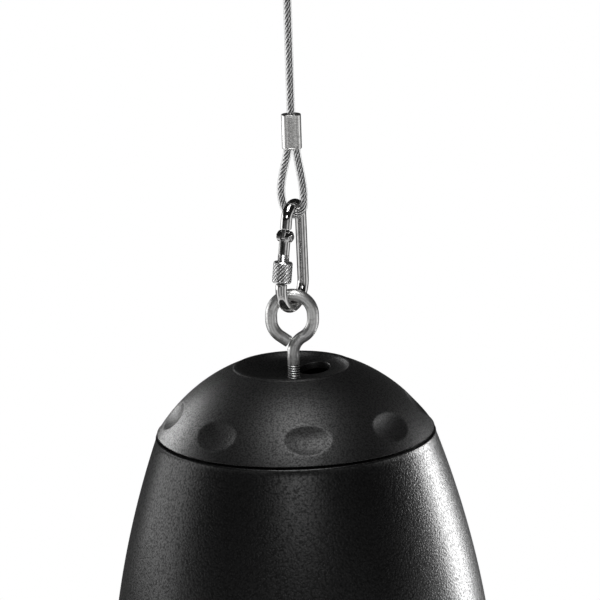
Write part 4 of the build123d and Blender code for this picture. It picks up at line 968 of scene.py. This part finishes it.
class CAP_OT_build(bpy.types.Operator):
    """Dished cap with finger dimples and the cable hole"""
    bl_idname = "speaker.cap"
    bl_label = "Cap"

    radius = 73.4 * MM
    rim = 30.5 * MM
    rim_round = 1.6 * MM
    dish = 6.4 * MM
    wall = 3.4 * MM
    hole_out = 16.0 * MM
    hole_angle = math.radians(47.5)
    hole_radius = 8.4 * MM
    dish_floor = 0.84
    gap = 1.2 * MM
    bore = 3.6 * MM
    # Dimples: angle of the first, how far inside the cap's edge, softness and base of their rim
    first_dimple = -84.6
    dimple_in = 8.8 * MM
    dimple_soft, dimple_base = 0.09, 0.004
    # The cable hole's plug: how far it flares and its height over the dish, both in mm, where
    # None stands for its foot far below
    plug = ((0, None), (0, -0.3), (0.05, -0.12), (0.15, -0.02), (0.35, 0.08), (1.6, 3.0))
    plug_foot = -0.03

    def execute(self, context):
        sizes = context.scene.speaker_shell
        black = grained_plastic("cap_black", tuple(sizes.black), sizes.cap_grain * 0.9, 0.09 * MM,
                                0.45)
        profile, on_shoulder = self.profile()
        rings = turned_rings(profile, 576, (axis_x, 0, rim_z))
        rings = self.dimpled(rings, profile, on_shoulder, sizes)
        cap = piece("cap_shell", [skin(rings, wrap=True)], "speaker", black,
                    ["top_cap"])
        self.cut(cap)
        return {"FINISHED"}

    def dish_height(self, out):
        """Height of the dish at a radius: its curve has the points (0, -d), (f e, -d), (e, -s)."""
        edge = self.rim - self.rim_round
        share = np.linspace(0, 1, 200)
        place = 2 * share * (1 - share) * self.dish_floor * edge + share ** 2 * edge
        height = -self.dish * (1 - share ** 2) - 0.4 * self.rim_round * share ** 2
        return np.interp(out, place, height)

    def profile(self):
        """Closed half outline: hole, dish, rim, shoulder, lower edge, spigot and underside. The
        shoulder is the cubic through its four points, in the length of their chords."""
        edge, drop = self.rim - self.rim_round, 0.4 * self.rim_round
        out = np.linspace(self.bore, edge, 40)
        dish = np.stack([out, self.dish_height(out)], axis=-1)
        rim_radius = (self.rim_round ** 2 + drop ** 2) / (2 * drop)
        half = math.degrees(math.asin(self.rim_round / rim_radius))
        rim = bow((self.rim, -rim_radius), rim_radius, 90 + half, 90 - half, half / 6)
        span = self.radius - self.rim
        knots = np.array([
            (self.rim + self.rim_round, -drop),
            (self.rim + 0.541 * span, 0.378 * (seam_z + self.gap)),
            (self.rim + 0.846 * span, 0.746 * (seam_z + self.gap)),
            (self.radius, seam_z + self.gap),
        ])
        chord = distances(knots)
        fine = np.linspace(0, chord[-1], 110)
        cubics = [np.polyfit(chord, knots[:, k], 3) for k in (0, 1)]
        shoulder = np.stack([np.polyval(cubic, fine) for cubic in cubics], axis=-1)
        low = knots[-1][1]
        round_edge = 0.35 * MM
        shoulder = shoulder[shoulder[:, 1] > low + round_edge]
        lower = bow((self.radius - round_edge, low + round_edge), round_edge, 0, -90, 22.5)
        inwards = unit(directions(shoulder) @ np.array([[0, -1], [1, 0]]))
        under = (shoulder + inwards * self.wall)[::-6]
        outer, inner, end, reach = 69.6 * MM, 67.0 * MM, low - 6.4 * MM, 66.5 * MM
        under = under[under[:, 0] < reach]
        spigot = np.array([(outer, low), (outer, end), (inner, end), (inner, under[0][1])])
        inner_out = np.linspace(edge - 1.0 * MM, self.bore, 8)
        inner_dish = np.stack([inner_out, self.dish_height(inner_out) - self.wall], axis=-1)
        start = np.array([[self.bore, -self.dish - self.wall + 0.01 * MM]])
        parts = [start, dish, rim[1:], shoulder[1:], lower, spigot, under, inner_dish[:-1]]
        outline = np.concatenate(parts)
        first = len(start) + len(dish) + len(rim) - 1
        on_shoulder = np.zeros(len(outline), bool)
        on_shoulder[first:first + len(shoulder) - 1] = True
        return outline, on_shoulder

    def dimpled(self, rings, profile, on_shoulder, sizes):
        """Presses the dimples in along the surface's normal by depth (t + sqrt(t^2 + k^2)) / 2,
        where t = 1 - (a / half width)^2 - (b / half height)^2, with a round and b down the
        shoulder."""
        rows = np.flatnonzero(on_shoulder)
        line = profile[rows]
        along = distances(line)
        centre = np.interp(self.radius - self.dimple_in, line[:, 0], along)
        way = directions(line)
        normal = np.stack([-way[:, 1], way[:, 0]], axis=-1)
        angle = full_turn(rings.shape[1])
        press = np.zeros((len(rows), len(angle)))
        for k in range(sizes.dimples):
            turn = math.radians(self.first_dimple + 360 / sizes.dimples * k)
            round_way = line[:, :1] * ((angle - turn + np.pi) % (2 * np.pi) - np.pi)
            t = 1 - (round_way / (sizes.dimple_width / 2)) ** 2 - (
                (along - centre)[:, None] / (sizes.dimple_height / 2)) ** 2
            share = (t + np.sqrt(t ** 2 + self.dimple_soft ** 2)) / 2
            press += sizes.dimple_depth * np.clip(share - self.dimple_base, 0, None)
        shape = np.stack([normal[:, :1] * np.cos(angle), normal[:, :1] * np.sin(angle),
                          np.broadcast_to(normal[:, 1:], press.shape)], axis=-1)
        rings[rows] -= press[..., None] * shape
        return rings

    def cut(self, cap):
        """Cuts the cable hole with a round plug whose rim flares along the dish's surface."""
        angle = full_turn(96)
        middle = self.hole_out * np.array([math.cos(self.hole_angle), math.sin(self.hole_angle)])
        rings = []
        for flare, lift in self.plug:
            reach = self.hole_radius + flare * MM
            x = middle[0] + reach * np.cos(angle)
            y = middle[1] + reach * np.sin(angle)
            if lift is None:
                z = np.full(len(angle), self.plug_foot)
            else:
                z = self.dish_height(np.hypot(x, y)) + lift * MM
            rings.append(np.stack([x + axis_x, y, z + rim_z], axis=-1))
        mesh = make_mesh("cable_plug", [skin(np.array(rings))])
        cutter = placed("cable_plug", mesh)
        tool = cap.modifiers.new("cable_hole", "BOOLEAN")
        tool.operation = "DIFFERENCE"
        tool.solver = "EXACT"
        tool.object = cutter
        graph = bpy.context.evaluated_depsgraph_get()
        result = bpy.data.meshes.new_from_object(cap.evaluated_get(graph))
        cap.modifiers.clear()
        cap.data = result
        result.shade_smooth()
        result.set_sharp_from_angle(angle=math.radians(35))
        bpy.data.objects.remove(cutter)


class HOUSING_OT_build(bpy.types.Operator):
    """Flared housing with its deck, and the perforated grille"""
    bl_idname = "speaker.housing"
    bl_label = "Housing"

    def execute(self, context):
        sizes = context.scene.speaker_shell
        black = grained_plastic("housing_black", tuple(sizes.black), sizes.housing_grain, 0.2 * MM,
                                0.34, 0.6)
        wall, deck, deck_wall = 3.6 * MM, seam_z - 16.8 * MM, 4.0 * MM
        top_radius, radius = 73.5 * MM, 103.97 * MM
        share = np.linspace(0, 1, 90)
        height = seam_z + (housing_low - seam_z) * share
        side = np.stack([radius - (radius - top_radius) * (1 - share) ** 2, height], axis=-1)
        edge = 0.9 * MM
        side = side[side[:, 1] < seam_z - edge]
        top = bow((side[0][0] - edge, seam_z - edge), edge, 0, 90, 15)[::-1]
        inner = side[::-3] - [wall, 0.0]
        inner = inner[inner[:, 1] < deck - deck_wall]
        bore = top_radius - wall
        hub, chamfer = 1 * MM, 0.2 * MM
        well, shelf = inner[-1][0] - 1.2 * MM, bore - 5.4 * MM
        under_shelf, over_shelf = seam_z - 9.6 * MM, seam_z - 7.6 * MM
        outline = np.concatenate([
            [(hub, deck), (well, deck), (well, under_shelf)],
            [(shelf, under_shelf), (shelf, over_shelf)],
            [(bore, over_shelf), (bore, seam_z - chamfer), (bore + chamfer, seam_z)],
            top, side, inner[:-1],
            [(inner[-1][0], deck - deck_wall), (hub, deck - deck_wall)],
        ])
        rings = turned_rings(outline, 256, (axis_x, 0, rim_z))
        piece("housing_shell", [skin(rings)], "speaker", black, ["housing"])
        return {"FINISHED"}


class GRILLE_OT_build(bpy.types.Operator):
    """Perforated sheet over the loudspeaker's mouth"""
    bl_idname = "speaker.grille"
    bl_label = "Grille"

    def execute(self, context):
        sizes = context.scene.speaker_shell
        low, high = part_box("grille")
        border = (high.x - low.x) / 2
        clamp_width, overlap, clear, proud = 7.4 * MM, 1.2 * MM, 0.2 * MM, 0.03 * MM
        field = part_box("grille_clamp")[1].x - axis_x - clamp_width
        sheet = self.sheet(sizes, field, low.z, high.z)
        rim = np.array([(field - overlap, low.z - proud), (border - clear, low.z),
                        (border - clear, high.z), (field - overlap, high.z + proud)])
        ring = skin(turned_rings(rim, 180, (axis_x, 0, 0)), wrap=True)
        steel = plain_finish("grille_steel", *SLOT_FINISHES["grille_steel"])
        piece("grille_sheet", [sheet, ring], "speaker", steel, ["grille"])
        return {"FINISHED"}

    def sheet(self, sizes, field, low, high):
        """Cells of a hexagon grid. Each has twelve points on its edge, at 30 k degrees, as far out
        as pitch / sqrt(3) at a corner and pitch / 2 between two, and twelve round its hole. Points
        that cells share are merged, and the field's outside edge gets walls."""
        pitch = sizes.grille_pitch
        reach = int(field / pitch) + 2
        row, column = np.meshgrid(np.arange(-reach, reach + 1), np.arange(-reach, reach + 1))
        x = (column + (row % 2) / 2) * pitch
        y = row * pitch * math.sqrt(3) / 2
        inside = np.hypot(x, y) < field
        centres = np.stack([x[inside], y[inside]], axis=-1)
        turn = np.radians(30 * np.arange(12))
        around = np.stack([np.cos(turn), np.sin(turn)], axis=-1)
        far = np.where(np.arange(12) % 2 == 0, pitch / 2, pitch / math.sqrt(3))[:, None]
        edge = (centres[:, None] + around * far).reshape(-1, 2)
        hole = (centres[:, None] + around * sizes.grille_hole / 2).reshape(-1, 2)
        _, first, number = np.unique(np.round(edge / (0.01 * MM)).astype(int), axis=0,
                                     return_index=True, return_inverse=True)
        edge, number = edge[first], number.reshape(-1, 12)
        flat = np.concatenate([edge, hole])
        number_hole = len(edge) + np.arange(len(hole)).reshape(-1, 12)
        onward, onward_hole = np.roll(number, -1, 1), np.roll(number_hole, -1, 1)
        top = np.stack([number, onward, onward_hole, number_hole], axis=-1).reshape(-1, 4)
        under = len(flat)
        walls = np.stack([number_hole, onward_hole, onward_hole + under, number_hole + under],
                         axis=-1)
        sides = np.stack([number.ravel(), onward.ravel()], axis=-1)
        _, place, count = np.unique(np.sort(sides, axis=1), axis=0, return_index=True,
                                    return_counts=True)
        start, end = sides[place[count == 1]].T
        outer = np.stack([end, start, start + under, end + under], axis=-1)
        vertices = np.concatenate([np.column_stack([flat, np.full(len(flat), high)]),
                                   np.column_stack([flat, np.full(len(flat), low)])])
        vertices[:, 0] += axis_x
        return vertices, [top, (top + under)[:, ::-1], walls.reshape(-1, 4), outer]


class FINISH_OT_build(bpy.types.Operator):
    """Finishes of every CAD node, and which pieces the side lamps light"""
    bl_idname = "speaker.finishes"
    bl_label = "Finishes"

    def execute(self, context):
        shell = context.scene.speaker_shell
        chrome = context.scene.speaker_carabiner
        made = {slot: plain_finish(slot, *finish) for slot, finish in SLOT_FINISHES.items()}
        made["cap_black"] = grained_plastic("ring_black", tuple(shell.black), shell.cap_grain,
                                            0.13 * MM, 0.48)
        made["housing_black"] = made["cap_black"]
        made["carabiner_chrome"] = polished_metal("gate_chrome", tuple(chrome.chrome), 0.07)
        made["sleeve_chrome"] = made["carabiner_chrome"]
        made["eyebolt_steel"] = made["zinc_steel"]
        slots = {part["node"]: part["material_slot"] for part in frame["record"]["subparts"]}
        for name, node in frame["nodes"].items():
            node.data.materials.clear()
            node.data.materials.append(made[slots[name]])
        self.shade_metals()
        return {"FINISHED"}

    def shade_metals(self):
        """Keeps the two strongest side lamps on the plastic pieces and the floor, so the metals don't mirror these
        two lamps."""
        lit = {"left_back_softbox": ["floor", "cap_shell"],
               "right_strip": ["floor", "cap_shell", "housing_shell", "front_ring", "grille_sheet"]}
        for lamp, names in lit.items():
            group = bpy.data.collections.new(lamp + "_pieces")
            for name in names:
                group.objects.link(bpy.data.objects[name])
            bpy.data.objects[lamp].light_linking.receiver_collection = group


class SPEAKER_PT_panel(bpy.types.Panel):
    """Lists the pieces and their sizes"""
    bl_idname = "SPEAKER_PT_panel"
    bl_label = "Pendant loudspeaker"
    bl_space_type = "VIEW_3D"
    bl_region_type = "UI"
    bl_category = "Loudspeaker"

    def draw(self, context):
        for name, operator in PARTS:
            column = self.layout.column(align=True)
            if name:
                group = getattr(context.scene, name)
                for key in group.__annotations__:
                    column.prop(group, key)
            column.operator(operator.bl_idname)


GROUPS = {
    "speaker_stage": StageSizes,
    "speaker_rope": RopeSizes,
    "speaker_carabiner": CarabinerSizes,
    "speaker_eyebolt": EyeboltSizes,
    "speaker_shell": ShellSizes,
}
PARTS = (
    ("speaker_stage", STAGE_OT_build),
    ("speaker_rope", ROPE_OT_build),
    ("speaker_carabiner", CARABINER_OT_build),
    ("speaker_eyebolt", EYEBOLT_OT_build),
    ("speaker_shell", CAP_OT_build),
    ("", HOUSING_OT_build),
    ("", GRILLE_OT_build),
    ("", FINISH_OT_build),
)


def register():
    for name, group in GROUPS.items():
        bpy.utils.register_class(group)
        setattr(bpy.types.Scene, name, PointerProperty(type=group))
    for _, operator in PARTS:
        bpy.utils.register_class(operator)
    bpy.utils.register_class(SPEAKER_PT_panel)


def unregister():
    bpy.utils.unregister_class(SPEAKER_PT_panel)
    for _, operator in reversed(PARTS):
        bpy.utils.unregister_class(operator)
    for name, group in reversed(GROUPS.items()):
        delattr(bpy.types.Scene, name)
        bpy.utils.unregister_class(group)


def main():
    """Makes every piece in turn."""
    register()
    for _, operator in PARTS:
        category, name = operator.bl_idname.split(".")
        getattr(getattr(bpy.ops, category), name)()


if __name__ == "__main__":
    main()
